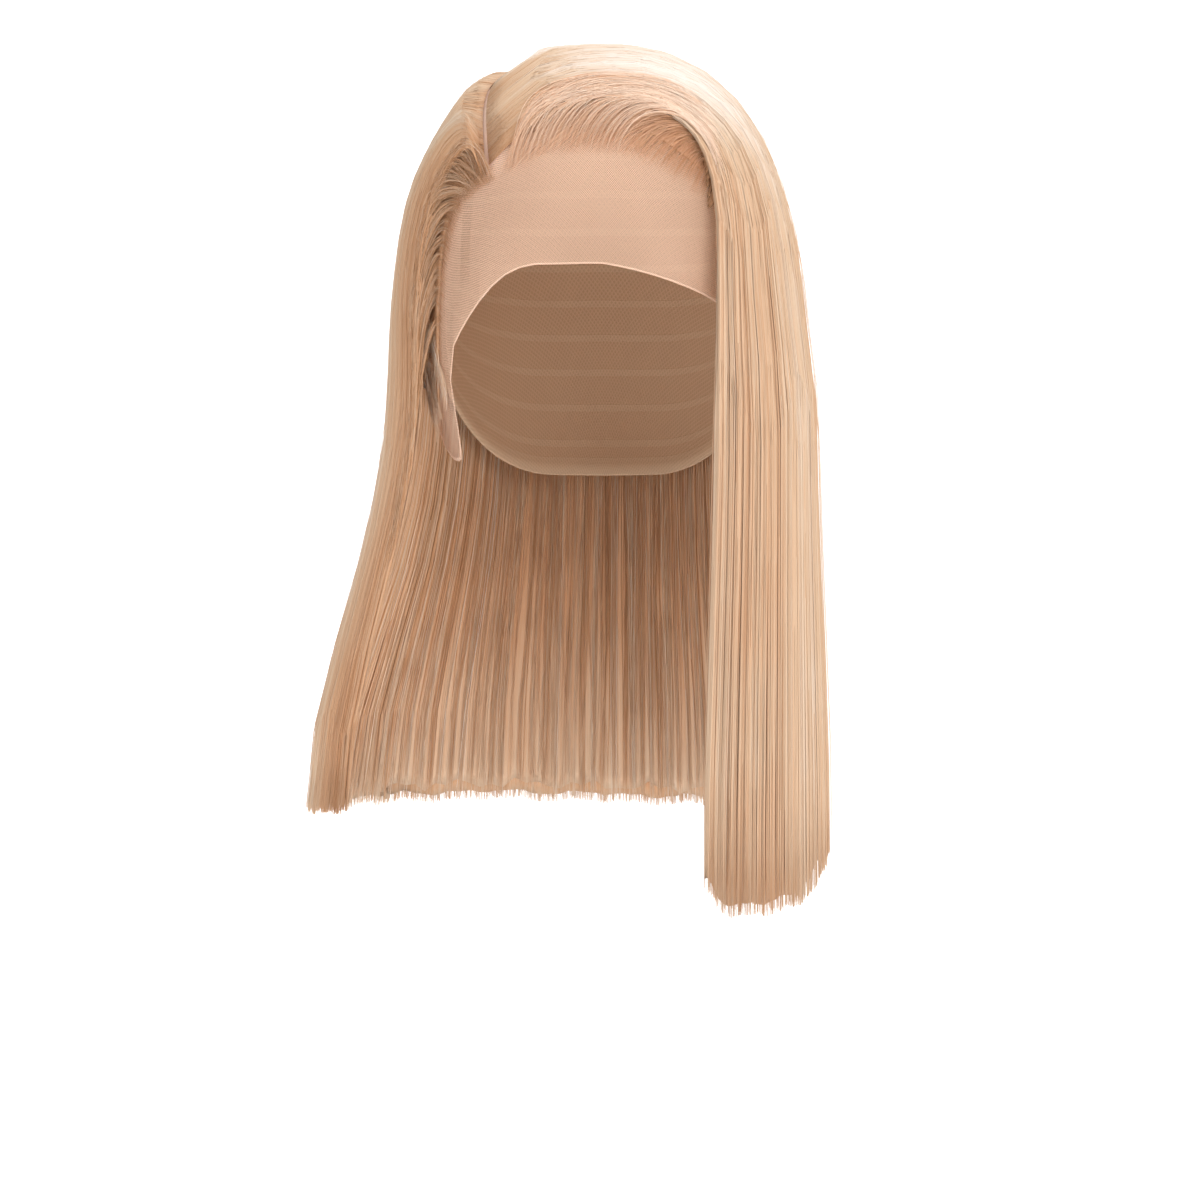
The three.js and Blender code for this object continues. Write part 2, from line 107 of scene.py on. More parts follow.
# Turn, share of the parting, tilt and turn of the crest, its pull, front reach, sway in x and y, and cut
GUIDES = np.array([
    (52, 0.0, 13, 112, 0.36, 0.78, -0.36, 0.62, 0.86),
    (71, 0.12, 28, 98, 0.72, 0.84, -0.38, 0.45, 0.86),
    (96, 0.34, 44, 90, 1.0, 0.95, -0.38, 0.25, 0.86),
    (125, 0.74, 46, 125, 1.0, 1, -0.25, 0.05, 0.86),
    (160, 1.0, 46, 160, 1.0, 1, -0.07, -0.1, 0.86),
    (195, 1.0, 44, 195, 1.0, 1, 0, -0.12, 0.87),
    (230, 0.84, 38, 230, 1.1, 1, 0.03, -0.08, 0.87),
    (258, 0.6, 31, 258, 1.2, 1, 0.05, -0.02, 0.88),
    (283, 0.36, 27, 283, 1.4, 1, 0.06, 0, 0.93),
    (309, 0.14, 32, 307, 1.9, 1, 0.01, -0.02, 1.01),
    (334.7, 0.0, 38, 326, 2.7, 1, -0.05, 0.02, 1.02),
])
# Turn, and the tilt of the lace's edge on the right and on the left
LACE_EDGE = np.array([
    (0, 84, 84), (11, 84.5, 86.5), (22, 84, 90), (30, 90, 93), (38, 98, 98), (45, 105, 105), (47, 111, 111),
    (48.5, 126, 126), (51, 131.5, 131.5), (56, 133, 133), (62, 133, 133), (70, 130.5, 130.5), (78, 122, 122),
    (85, 112, 112),
])
# Turn, and the tilts of the seam and of the lower edge
CAP_EDGES = np.array([
    (85, 104, 112), (92, 82, 104), (102, 62, 100), (116, 48, 104), (132, 40, 120), (152, 35, 130),
    (180, 33, 131),
])
# Turn, tilt, the way down the sweep's front edge, and degrees in under it
HAIRLINE = np.array([
    (26, 62, 0.12, -1), (15, 58.5, 0.27, 0), (2, 57.5, 0.4, 2.5), (-10, 60, 0.52, 5), (-20, 65, 0.64, 6),
    (-31, 71, 0.76, 6),
])
# Turn, tilt, and the way down the side hair's front edge
TEMPLE = np.array([
    (28, 63.5, 0.16), (34, 65.5, 0.32), (40, 69, 0.5), (42.5, 75, 0.66), (45, 82, 0.8), (47, 91, 0.96),
    (49, 101, 1.08), (52, 110, 1.18),
])

HEAD = {
    "centre": np.array([0, 0, -CROWN_TO_TEMPLES]),
    "side": HEAD_BREADTH / 2,
    "front": HEAD_FRONT_REACH,
    "back": HEAD_BACK_REACH,
    "top": CROWN_TO_TEMPLES,
    "bottom": TEMPLES_TO_THROAT,
    "squareness": HEAD_SQUARENESS,
}
HAIR = {
    "centre": np.array([-HAIR_SHIFT_TO_RIGHT, 0, -CROWN_TO_WIDEST_HAIR]),
    "side": HAIR_BREADTH / 2,
    "front": HAIR_FRONT_REACH,
    "back": HAIR_BACK_REACH,
    "top": CROWN_TO_WIDEST_HAIR + HAIR_ABOVE_CROWN,
    "bottom": FALL,
    "squareness": HAIR_SQUARENESS,
}


# The form, as in the part's source, for whole arrays of points at once

NORMAL_STEP = 0.004
HALVINGS = 18


def mix(a, b, share):
    return a + (b - a) * share


def ease(start, end, x):
    share = np.clip((x - start) / (end - start), 0, 1)
    return share * share * (3 - 2 * share)


def length(vector):
    return np.sqrt((vector * vector).sum(-1, keepdims=True))


def unit(vector):
    return vector / np.maximum(length(vector), 1e-9)


def between(rows, share):
    """A table's columns at a share of the way down it, on a smooth curve through the rows."""
    last = len(rows) - 1
    at = np.clip(share, 0, 1) * last
    first = np.minimum(np.floor(at), last - 1).astype(int)
    t = (at - first)[..., None]
    a, b, c, d = (rows[np.clip(first + k, 0, last)] for k in (-1, 0, 1, 2))
    return b + t * (c - a + t * (2 * a - 5 * b + 4 * c - d + t * (3 * (b - c) + d - a))) / 2


def direction(turn, tilt):
    a, b = np.radians(turn), np.radians(tilt)
    return np.stack([-np.sin(b) * np.sin(a), -np.sin(b) * np.cos(a), np.cos(b) + 0 * a], -1)


def egg_radius(egg, way, front=None):
    front = egg["front"] if front is None else front
    x, y, z = way[..., 0], way[..., 1], way[..., 2]
    total = (
        np.abs(x / egg["side"]) ** egg["squareness"]
        + np.abs(y / np.where(y < 0, front, egg["back"])) ** egg["squareness"]
        + np.abs(z / np.where(z > 0, egg["top"], egg["bottom"])) ** egg["squareness"]
    )
    return total[..., None] ** (-1 / egg["squareness"])


def over_head(way, above):
    """Points over the head in the directions given, at a height above it."""
    way = unit(way)
    return way * (egg_radius(HEAD, way) + np.asarray(above)[..., None]) + HEAD["centre"]


def height_over_head(point):
    way = point - HEAD["centre"]
    far = length(way)
    return (far - egg_radius(HEAD, way / far))[..., 0]


def parting_xy(share):
    x = mix(PARTING_START[0], PARTING_END[0], share) - PARTING_BOW * 4 * share * (1 - share)
    return x, mix(PARTING_START[1], PARTING_END[1], share)


def parting_root(share, turn, half):
    x, y = parting_xy(share)
    facing = np.radians(np.clip(turn, 90, 270))
    x, y = x - half * np.sin(facing), y - half * np.cos(facing)
    reach = np.where(y < 0, HEAD["front"], HEAD["back"])
    left = 1 - np.abs(x / HEAD["side"]) ** HEAD_SQUARENESS - np.abs(y / reach) ** HEAD_SQUARENESS
    return np.stack([x, y, HEAD["centre"][2] + HEAD["top"] * left ** (1 / HEAD_SQUARENESS)], -1)


def on_hair(side, way, roll=PARTING_ROLL):
    """Points on the outside of the long hair.

    Side runs from the right temple round the back to the left brow. Way runs from the parting (0) by the
    widest level (1) to the tips (2).
    """
    side, way = np.broadcast_arrays(np.asarray(side, float), np.asarray(way, float))
    guide = np.moveaxis(between(GUIDES, side), -1, 0)
    turn, parting, crest, crest_turn, pull, reach, sway_x, sway_y, cut = guide
    half = mix(PARTING_WIDTH / 2, CROWN_WHORL_RADIUS, ease(WHORL_SHARE, 1, parting))
    root = parting_root(parting, turn, half) - HAIR["centre"]
    root_reach = length(root) + CAP_WALL + LAYER_GAP + ROOT_THICKNESS
    widest = direction(turn, 90 + 0 * turn)
    front = HAIR["front"] * mix(1, reach, ease(0, REACH_HOLDS, way))
    start = unit(root)
    w = np.clip(way, 0, 1)[..., None]
    climb = unit(
        start * (1 - w) ** 2
        + direction(crest_turn, crest) * 2 * pull[..., None] * w * (1 - w)
        + widest * w ** 2
    )
    angle = np.arccos(np.clip((climb * start).sum(-1, keepdims=True), -1, 1))
    rise = ease(0, roll, angle * root_reach)
    point = climb * mix(root_reach, egg_radius(HAIR, climb, front), rise) + HAIR["centre"]
    drop = np.clip(way - 1, 0, None)
    lean = HAIR_BREADTH / 2 * ease(0, 1, drop)
    hang = np.stack([sway_x * lean, sway_y * lean, -cut * FALL * drop], -1)
    return point + hang


def hair_normal(side, way):
    after, before = side + NORMAL_STEP, side - NORMAL_STEP
    across = on_hair(np.minimum(after, 1), way) - on_hair(np.maximum(before, 0), way)
    after, before = way + NORMAL_STEP, way - NORMAL_STEP
    along = on_hair(side, np.minimum(after, 2)) - on_hair(side, np.maximum(before, 0.001))
    return unit(np.cross(across, along))


def room_to_head(point, into, clearance):
    """How far a point can go inward before it comes nearer to the head than the clearance."""
    low, high = np.zeros(point.shape[:-1]), np.full(point.shape[:-1], HEAD_BREADTH / 2)
    for _ in range(HALVINGS):
        middle = (low + high) / 2
        free = height_over_head(point + into * middle[..., None]) > clearance
        low, high = np.where(free, middle, low), np.where(free, high, middle)
    return low


def hair_wall(side, way):
    """The point, the inward way and the depth of the long hair, over the whole of it."""
    side, way = np.broadcast_arrays(np.asarray(side, float), np.asarray(way, float))
    point = on_hair(side, way)
    hanging = ease(0.6, 1, way)
    to_head = unit(HEAD["centre"] - point)
    into = unit(mix(to_head, -hair_normal(side, way), hanging[..., None]))
    over_hairline = (HAIRLINE_THICKNESS + LAYER_GAP) * ease(0.84, 0.94, side) * ease(0.02, 0.12, way)
    over_temple = WAVES_THICKNESS + WAVE_HEIGHT + LAYER_GAP
    over_temple = over_temple * (1 - ease(0.05, 0.14, side)) * ease(0.03, 0.2, way)
    skirt = mix(SKIRT_THICKNESS, TIP_THICKNESS, ease(1.2, 2, way))
    clearance = CAP_WALL + LAYER_GAP + over_hairline + over_temple
    room = np.maximum(room_to_head(point, into, clearance), LEAST_THICKNESS)
    full = np.minimum(room, mix(room, skirt, hanging))
    free = np.minimum(ease(0, FREE_EDGE_RUN, side), ease(0, FREE_EDGE_RUN, 1 - side))
    return point, into, mix(np.minimum(full, FREE_EDGE_THICKNESS), full, free)


COMBED_ROLL = 30
COMBED_OVER_TOP = 1.7
COMBED_AT_CROWN = 2.2
COMBED_AT_FLANK = 2.2
TURN_SOFTNESS = 0.13
TURN_SPREAD = 0.17
LEAST_LEFT = 0.5
FLOW_STEP = 0.02
# The stretch of sides over which the back's softer forms go over into the sweep's
BACK_INTO_SWEEP = (0.64, 0.74)


def combed_wall(side, way):
    """The wall that the strands are combed over, a little inside the envelope of the long hair.

    It rises more softly beside the parting, and its turn at the widest level is rounded.
    """
    side, way = np.broadcast_arrays(np.asarray(side, float), np.asarray(way, float))
    point, into, depth = hair_wall(side, way)
    turn = TURN_SOFTNESS * np.exp(-((way - 1) / TURN_SPREAD) ** 2)
    roll = mix(PARTING_ROLL, COMBED_ROLL, ease(*BACK_INTO_SWEEP, side))[..., None]
    soft = [on_hair(side, np.clip(way + shift * turn, 0, 2), roll) for shift in (-1, 0, 1)]
    lower = (soft[0] + 2 * soft[1] + soft[2]) / 4
    lower = over_head(lower - HEAD["centre"], np.maximum(height_over_head(lower), LACE_WALL + LAYER_GAP))
    dropped = ((lower - point) * into).sum(-1)
    held = 1 - ease(0.3, 0.36, side)
    crown = ease(0.2, 0.34, side) * (1 - ease(0.62, 0.72, side))
    raised = COMBED_AT_CROWN * ease(0.02, 0.1, way) * (1 - ease(0.25, 0.5, way))
    over_top = COMBED_OVER_TOP * mix(ease(0.03, 0.2, way), ease(0.25, 0.55, way), crown) - raised * crown
    inset = over_top + COMBED_AT_FLANK * ease(0.4, 0.75, way)
    inset = inset * mix(1 - ease(0.86, 1.1, way), 1, held)
    inset = np.minimum(inset, 0.5 * depth)
    left = np.maximum(depth - dropped - inset, LEAST_LEFT)
    return lower + into * inset[..., None], into, left


def flow(side, way):
    """The way that the combed strands run."""
    after = combed_wall(side, np.minimum(way + FLOW_STEP, 2))[0]
    return unit(after - combed_wall(side, way - FLOW_STEP)[0])


# Meshes

WELD = 0.00002
TUBE_CORNERS = (90, 210, 330)
HAIR_MAP_ROUND = 620
HAIR_MAP_DOWN = 200


def finish_piece(piece, nodes, material):
    bpy.context.scene.collection.objects.link(piece)
    piece.data.materials.append(material)
    piece.data.shade_smooth()
    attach(piece, BODY)
    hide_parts(*nodes)


def sheet_from_grid(name, columns, rows, shape, map_name):
    """A mesh from one grid. Shape gives each (across, down) in 0..1 a place in mm, a map in mm and a tone."""
    mesh = bpy.data.meshes.new(name)
    work = bmesh.new()
    bmesh.ops.create_grid(work, x_segments=columns, y_segments=rows, size=1.0)
    at = np.array([vertex.co[:2] for vertex in work.verts]) / 2 + 0.5
    place, flat, tone = shape(at[:, 0], at[:, 1])
    flats = work.loops.layers.uv.new(map_name)
    tones = work.loops.layers.uv.new("tone_map")
    for vertex in work.verts:
        for loop in vertex.link_loops:
            loop[flats].uv = flat[vertex.index]
            loop[tones].uv = (tone[vertex.index], at[vertex.index, 1])
    for vertex in work.verts:
        vertex.co = place[vertex.index] * MM
    bmesh.ops.remove_doubles(work, verts=work.verts, dist=WELD)
    bmesh.ops.dissolve_degenerate(work, edges=work.edges, dist=WELD / 10)
    bmesh.ops.recalc_face_normals(work, faces=work.faces)
    work.to_mesh(mesh)
    work.free()
    return bpy.data.objects.new(name, mesh)


def tubes(name, points, radii, outward, tone, shade):
    """Closed three-sided tubes, one for each row of points in mm, as a mesh. Its map holds tone and shade."""
    count, steps, _ = points.shape
    along = unit(np.gradient(points, axis=1))
    across = unit(np.cross(along, outward))
    up = np.cross(across, along)
    corners = []
    for angle in np.radians(TUBE_CORNERS):
        corners.append(points + (across * math.cos(angle) + up * math.sin(angle)) * radii[..., None])
    vertices = np.stack(corners, 2)
    index = np.arange(count * steps * 3).reshape(count, steps, 3)
    faces = []
    for k in range(3):
        a, b = index[:, :-1, k], index[:, :-1, (k + 1) % 3]
        c, d = index[:, 1:, (k + 1) % 3], index[:, 1:, k]
        faces += [np.stack([a, b, c], -1).reshape(-1, 3), np.stack([a, c, d], -1).reshape(-1, 3)]
    faces += [index[:, 0, ::-1].reshape(-1, 3), index[:, -1, :].reshape(-1, 3)]
    faces = np.concatenate(faces)
    corner = vertices.reshape(-1, 3)
    mesh = bpy.data.meshes.new(name)
    mesh.from_pydata((corner * MM).tolist(), [], faces.tolist())
    flat = np.stack([np.broadcast_to(tone, (count, steps)), np.broadcast_to(shade, (count, steps))], -1)
    flat = np.repeat(flat[:, :, None, :], 3, 2).reshape(-1, 2)
    layer = mesh.uv_layers.new(name="strand_map")
    layer.uv.foreach_set("vector", flat[faces.reshape(-1)].astype(np.float32).reshape(-1))
    return bpy.data.objects.new(name, mesh)


def add_mass(name, node_name, material, grid, shape):
    """The closed mass of hair of a node, from a grid of columns and rows that shape folds shut."""
    finish_piece(sheet_from_grid(name, *grid, shape, "hair_map"), [node_name], material)


def add_strands(name, node_name, material, points, radii, outward, own, shade):
    """Single strands of a node. Own is the tone of each strand, and shade is what its points add."""
    finish_piece(tubes(name, points, radii, outward, own[:, None], shade), [node_name], material)


def fold(down):
    """Which points of a folded grid are on its inner leg, and how far down they are, from root to fold."""
    inner = down > 0.5
    return inner, np.where(inner, 2 - 2 * down, 2 * down)


def rounded(*shares):
    """How full a closed mass is: its edges are rounded off where a share of the way in is under 1."""
    full = 1
    for share in shares:
        full = full * np.sqrt(1 - (1 - np.clip(share, 0, 1)) ** 2)
    return full


def hair_map(side, way):
    """A flat map of the long hair, in mm."""
    return np.stack([side * HAIR_MAP_ROUND, way * HAIR_MAP_DOWN], -1)


# Materials

# Width and run of the streaks in mm, and how far they swing the tone
STREAKS = ((7.0, 130.0, 0.16), (1.6, 90.0, 0.2), (0.45, 60.0, 0.24))
STRAND_SWING = 0.16
LACE_RIM_FROM = 0.9945
LACE_RIM_CLOSENESS = 0.55
CAP_PITCH = 2.4
CAP_THREAD = 0.4
WEFT_SHARE = 0.2
CAP_HEM_FROM = 0.95
CAP_HOLE_SHADE = (0.8, 0.77, 0.74, 1)
CAP_HOLE_DEPTH = 0.6


def new_material(name):
    material = bpy.data.materials.new(name)
    material.use_nodes = True
    tree = material.node_tree
    tree.nodes.clear()
    shader = tree.nodes.new("ShaderNodeBsdfPrincipled")
    output = tree.nodes.new("ShaderNodeOutputMaterial")
    tree.links.new(shader.outputs["BSDF"], output.inputs["Surface"])
    return material, tree, shader


def node(tree, kind, **settings):
    made = tree.nodes.new("ShaderNode" + kind)
    for key, value in settings.items():
        if key.startswith("in_"):
            made.inputs[key[3:].replace("_", " ")].default_value = value
        else:
            setattr(made, key, value)
    return made


def math_node(tree, operation, a, b=None):
    made = tree.nodes.new("ShaderNodeMath")
    made.operation = operation
    for socket, value in zip(made.inputs, (a, b)):
        if isinstance(value, bpy.types.NodeSocket):
            tree.links.new(value, socket)
        elif value is not None:
            socket.default_value = value
    return made.outputs["Value"]


def uv_parts(tree, map_name):
    source = node(tree, "UVMap", uv_map=map_name)
    parts = node(tree, "SeparateXYZ")
    tree.links.new(source.outputs["UV"], parts.inputs["Vector"])
    return source.outputs["UV"], parts.outputs["X"], parts.outputs["Y"]


def hair_tint_group(name, platinum, beige, gold, hollow_shade):
    """Tone 0 is platinum, then beige, then gold, and 1 is a dark colour that is painted shade in the hollows
    between the strands.
    """
    group = bpy.data.node_groups.new(name, "ShaderNodeTree")
    group.interface.new_socket(name="Tone", in_out="INPUT", socket_type="NodeSocketFloat")
    group.interface.new_socket(name="Color", in_out="OUTPUT", socket_type="NodeSocketColor")
    enter = group.nodes.new("NodeGroupInput")
    leave = group.nodes.new("NodeGroupOutput")
    ramp = group.nodes.new("ShaderNodeValToRGB")
    stops = ((0.0, platinum), (0.34, beige), (0.67, gold), (1.0, hollow_shade))
    elements = ramp.color_ramp.elements
    while len(elements) < len(stops):
        elements.new(0.5)
    for element, (at, colour) in zip(elements, stops):
        element.position = at
        element.color = (*colour, 1)
    group.links.new(enter.outputs["Tone"], ramp.inputs["Fac"])
    group.links.new(ramp.outputs["Color"], leave.inputs["Color"])
    return group


def add_bump(tree, shader, height, strength, distance):
    bump = node(tree, "Bump", in_Strength=strength, in_Distance=distance)
    tree.links.new(height, bump.inputs["Height"])
    tree.links.new(bump.outputs["Normal"], shader.inputs["Normal"])


def mixed_colour(tree, factor, first, second, **settings):
    """Two colours mixed by a factor. The first is a colour or a socket."""
    made = node(tree, "Mix", data_type="RGBA", **settings)
    tree.links.new(factor, made.inputs["Factor"])
    if isinstance(first, bpy.types.NodeSocket):
        tree.links.new(first, made.inputs["A"])
    else:
        made.inputs["A"].default_value = first
    made.inputs["B"].default_value = second
    return made.outputs["Result"]


def tinted(tree, group, tone):
    tint = tree.nodes.new("ShaderNodeGroup")
    tint.node_tree = group
    tree.links.new(tone, tint.inputs["Tone"])
    return tint.outputs["Color"]


def strand_material(name, group):
    """Single strands: the tone is the strand's own, and runs a little lighter and darker along it."""
    material, tree, shader = new_material(name)
    _, tone, shade = uv_parts(tree, "strand_map")
    spot = node(tree, "TexCoord")
    noise = node(tree, "TexNoise", in_Scale=24.0, in_Detail=2.0)
    tree.links.new(spot.outputs["Object"], noise.inputs["Vector"])
    swing = math_node(tree, "MULTIPLY", math_node(tree, "SUBTRACT", noise.outputs["Fac"], 0.5), STRAND_SWING)
    total = math_node(tree, "ADD", math_node(tree, "ADD", tone, swing), shade)
    tree.links.new(tinted(tree, group, total), shader.inputs["Base Color"])
    shader.inputs["Roughness"].default_value = 0.48
    shader.inputs["Specular IOR Level"].default_value = 0.32
    return material


def wall_material(name, group):
    """The mass of hair under the loose strands: streaks that run with the hair, in three widths."""
    material, tree, shader = new_material(name)
    place, _, _ = uv_parts(tree, "hair_map")
    _, tone, _ = uv_parts(tree, "tone_map")
    total = tone
    heights = []
    for wide, run, amount in STREAKS:
        stretch = node(tree, "Mapping")
        stretch.inputs["Scale"].default_value = (1 / wide, 1 / run, 1)
        tree.links.new(place, stretch.inputs["Vector"])
        noise = node(tree, "TexNoise", in_Scale=1.0, in_Detail=3.0, in_Roughness=0.6)
        tree.links.new(stretch.outputs["Vector"], noise.inputs["Vector"])
        swing = math_node(tree, "SUBTRACT", noise.outputs["Fac"], 0.5)
        total = math_node(tree, "ADD", total, math_node(tree, "MULTIPLY", swing, amount * 2))
        heights.append(noise.outputs["Fac"])
    tree.links.new(tinted(tree, group, total), shader.inputs["Base Color"])
    raised = math_node(tree, "ADD", math_node(tree, "MULTIPLY", heights[1], 0.6), heights[2])
    add_bump(tree, shader, raised, 0.7, 0.0006)
    shader.inputs["Roughness"].default_value = 0.45
    shader.inputs["Anisotropic"].default_value = 0.6
    tangent = node(tree, "Tangent", direction_type="UV_MAP", uv_map="hair_map")
    tree.links.new(tangent.outputs["Tangent"], shader.inputs["Tangent"])
    return material


def net_group():
    """Crossing threads on a map in mm, from a pitch and a thread's share of it. Threads is 1 on a thread."""
    group = bpy.data.node_groups.new("crossed_net", "ShaderNodeTree")
    group.interface.new_socket(name="Map", in_out="INPUT", socket_type="NodeSocketVector")
    group.interface.new_socket(name="Pitch", in_out="INPUT", socket_type="NodeSocketFloat")
    group.interface.new_socket(name="Width", in_out="INPUT", socket_type="NodeSocketFloat")
    group.interface.new_socket(name="Threads", in_out="OUTPUT", socket_type="NodeSocketFloat")
    enter = group.nodes.new("NodeGroupInput")
    leave = group.nodes.new("NodeGroupOutput")
    parts = node(group, "SeparateXYZ")
    group.links.new(enter.outputs["Map"], parts.inputs["Vector"])
    x = math_node(group, "DIVIDE", parts.outputs["X"], enter.outputs["Pitch"])
    y = math_node(group, "DIVIDE", parts.outputs["Y"], enter.outputs["Pitch"])
    threads = []
    for run in (math_node(group, "ADD", x, y), math_node(group, "SUBTRACT", x, y)):
        threads.append(math_node(group, "LESS_THAN", math_node(group, "FRACT", run), enter.outputs["Width"]))
    group.links.new(math_node(group, "MAXIMUM", *threads), leave.inputs["Threads"])
    return group


def net_threads(tree, net, pitch, width):
    place, _, _ = uv_parts(tree, "lace_map")
    group = tree.nodes.new("ShaderNodeGroup")
    group.node_tree = net
    group.inputs["Pitch"].default_value = pitch
    group.inputs["Width"].default_value = width
    tree.links.new(place, group.inputs["Map"])
    return group.outputs["Threads"]


def lace_material(look, net):
    """Sheer lace: a fine see-through net, closer at its cut edge and tinted like skin along the parting."""
    material, tree, shader = new_material("sheer_lace")
    _, parting, down = uv_parts(tree, "tone_map")
    threads = net_threads(tree, net, look.net_pitch, look.net_thread)
    edge = math_node(tree, "GREATER_THAN", down, LACE_RIM_FROM)
    shut = math_node(tree, "MAXIMUM", math_node(tree, "MULTIPLY", edge, LACE_RIM_CLOSENESS), parting)
    seen = math_node(tree, "MAXIMUM", threads, shut)
    tree.links.new(math_node(tree, "MINIMUM", seen, 1.0), shader.inputs["Alpha"])
    tint = mixed_colour(tree, parting, (*look.lace, 1), (*look.parting, 1))
    tree.links.new(tint, shader.inputs["Base Color"])
    add_bump(tree, shader, threads, 0.4, 0.0002)
    shader.inputs["Roughness"].default_value = 0.75
    shader.inputs["Sheen Weight"].default_value = 0.2
    return material


def cap_material(look, net):
    """Stretch net with the sewn rows that hold the hair."""
    material, tree, shader = new_material("stretch_cap")
    _, _, down = uv_parts(tree, "tone_map")
    threads = net_threads(tree, net, CAP_PITCH, CAP_THREAD)
    row = math_node(tree, "FRACT", math_node(tree, "MULTIPLY", down, look.weft_rows))
    band = math_node(tree, "LESS_THAN", row, WEFT_SHARE)
    sewn = math_node(tree, "MAXIMUM", band, math_node(tree, "GREATER_THAN", down, CAP_HEM_FROM))
    tint = mixed_colour(tree, sewn, (*look.cap, 1), (*look.weft, 1))
    holes = math_node(tree, "MULTIPLY", math_node(tree, "SUBTRACT", 1.0, threads), CAP_HOLE_DEPTH)
    dark = mixed_colour(tree, holes, tint, CAP_HOLE_SHADE, blend_type="MULTIPLY")
    tree.links.new(dark, shader.inputs["Base Color"])
    add_bump(tree, shader, math_node(tree, "ADD", sewn, threads), 0.8, 0.0006)
    shader.inputs["Roughness"].default_value = 0.8
    return material


def finishes(context):
    """The shared materials, made once."""
    settings = context.scene.bob_wig
    if "hair_strands" not in bpy.data.materials:
        look = settings.hair
        tint = hair_tint_group("hair_tint", look.platinum, look.beige, look.gold, look.hollow_shade)
        warm = hair_tint_group("brow_tint", look.brow_pale, look.brow_beige, look.brow_gold, look.hollow_shade)
        net = net_group()
        strand_material("hair_strands", tint)
        wall_material("hair_mass", tint)
        strand_material("brow_strands", warm)
        wall_material("brow_mass", warm)
        lace_material(settings.cloth, net)
        cap_material(settings.cloth, net)
    return bpy.data.materials


# Long hair

MASS_COLUMNS = 60
MASS_ROWS = 84
MASS_FROM = 0.03
MASS_TO = 1.98
MASS_ABOVE_WIDEST = 0.55
MASS_RIM_CROWDING = 0.35
MASS_UNDER = 1.5
MASS_INTO_LACE = 0.2
MASS_INSIDE = 0.4
MASS_LEAST = 0.3
# Painted shade: the mass that shows in the gaps between strands is a little darker, and its inner side,
# facing the head, much darker.
MASS_GAP_SHADE = 0.06
INNER_SIDE_SHADE = 0.26
RISE_REACH = (0.045, 0.09)
CLIMB_SHARE = 0.7
CLIMB_CROWDING = 1.35
FALL_CROWDING = 1.2
OVERLAP = 0.004
STRAND_MARGIN = 0.0006
LOCK_JITTER = 0.35
LOCK_GATHER = 0.22
LOCK_STEP = 1.8
LOCK_STEPS = ((0.8, 173, 0), (0.5, 97, 1), (0.4, 411, 2))
FRONT_CORNER = 12
LATE_ROOT = 0.05
UNEVEN_TIPS = 0.011
WANDER = ((0.0005, 1.1), (0.0002, 2.3))
STRAY_SHARE = 0.02
SEAT_HALF_WIDTH = 0.7
SEAT_HALF_WIDTH_AT_WHORL = 1.4
SEAT_HEIGHT = 0.35
SEAT_RISE_AT_WHORL = 2.2


def down_a_strand(share):
    """The way from the parting to the tips at a share of a strand: its steps are closer where hair bends."""
    climb = share / CLIMB_SHARE
    fall = np.maximum(share - CLIMB_SHARE, 0) / (1 - CLIMB_SHARE)
    return np.where(share < CLIMB_SHARE, climb ** CLIMB_CROWDING, 1 + fall ** FALL_CROWDING)


def rise_left(side, way):
    """The share of the climb from lace to combed wall that is still to come, from 1 at a root to 0."""
    reach = mix(*RISE_REACH, ease(*BACK_INTO_SWEEP, side))
    return 1 - ease(0, reach, way)


def lock_step(side):
    """How much shorter the hair is at a side of the head than its longest locks, in mm."""
    uneven = LOCK_STEP
    for size, beat, shift in LOCK_STEPS:
        uneven = uneven + size * np.sin(side * beat + shift)
    return uneven + FRONT_CORNER * ease(0.975, 1.0, side)


def parting_seat(side):
    """Where a strand leaves the lace, close beside the middle of the parting."""
    guide = between(GUIDES, side)
    near_whorl = ease(WHORL_SHARE, 1, guide[..., 1])
    half = mix(SEAT_HALF_WIDTH, SEAT_HALF_WIDTH_AT_WHORL, near_whorl)
    seat = parting_root(guide[..., 1], guide[..., 0], half)
    return over_head(seat - HEAD["centre"], LACE_WALL + SEAT_HEIGHT + SEAT_RISE_AT_WHORL * near_whorl)


def hair_mass(node_name, slot_name, start, end, tone, material):
    """The closed mass of a length of hair, a little inside the solid so that the strands lie on it."""

    def shape(across, down):
        inner, leg = fold(down)
        climb = leg / MASS_ABOVE_WIDEST
        fall = 1 + (leg - MASS_ABOVE_WIDEST) / (1 - MASS_ABOVE_WIDEST)
        way = np.where(leg < MASS_ABOVE_WIDEST, climb, fall)
        way = mix(MASS_FROM, MASS_TO, np.clip(way, 0, 2) / 2)
        side = mix(start, end, mix(across, ease(0, 1, across), MASS_RIM_CROWDING))
        point, into, depth = combed_wall(side, way)
        point[..., 2] += lock_step(side) * ease(1.5, 2, way)
        full = rounded(np.minimum(across, 1 - across) / 0.05, (1 - leg) / 0.07, leg / 0.04)
        to_lace = np.maximum(height_over_head(point) - LACE_WALL, 0)
        outer_depth = np.minimum(rise_left(side, way) * to_lace + MASS_UNDER, to_lace + MASS_INTO_LACE)
        inner_depth = np.maximum(depth - MASS_INSIDE, outer_depth + MASS_LEAST)
        middle = (outer_depth + inner_depth) / 2
        half = (inner_depth - outer_depth) / 2 * full
        away = np.where(inner, middle + half, middle - half)
        # Painted shade in the gaps between strands and on the mass's inner side.
        shown = tone(side, way) + MASS_GAP_SHADE + INNER_SIDE_SHADE * inner
        return point + into * away[..., None], hair_map(side, way), shown

    add_mass(node_name + "_mass", node_name, material, (MASS_COLUMNS, MASS_ROWS), shape)


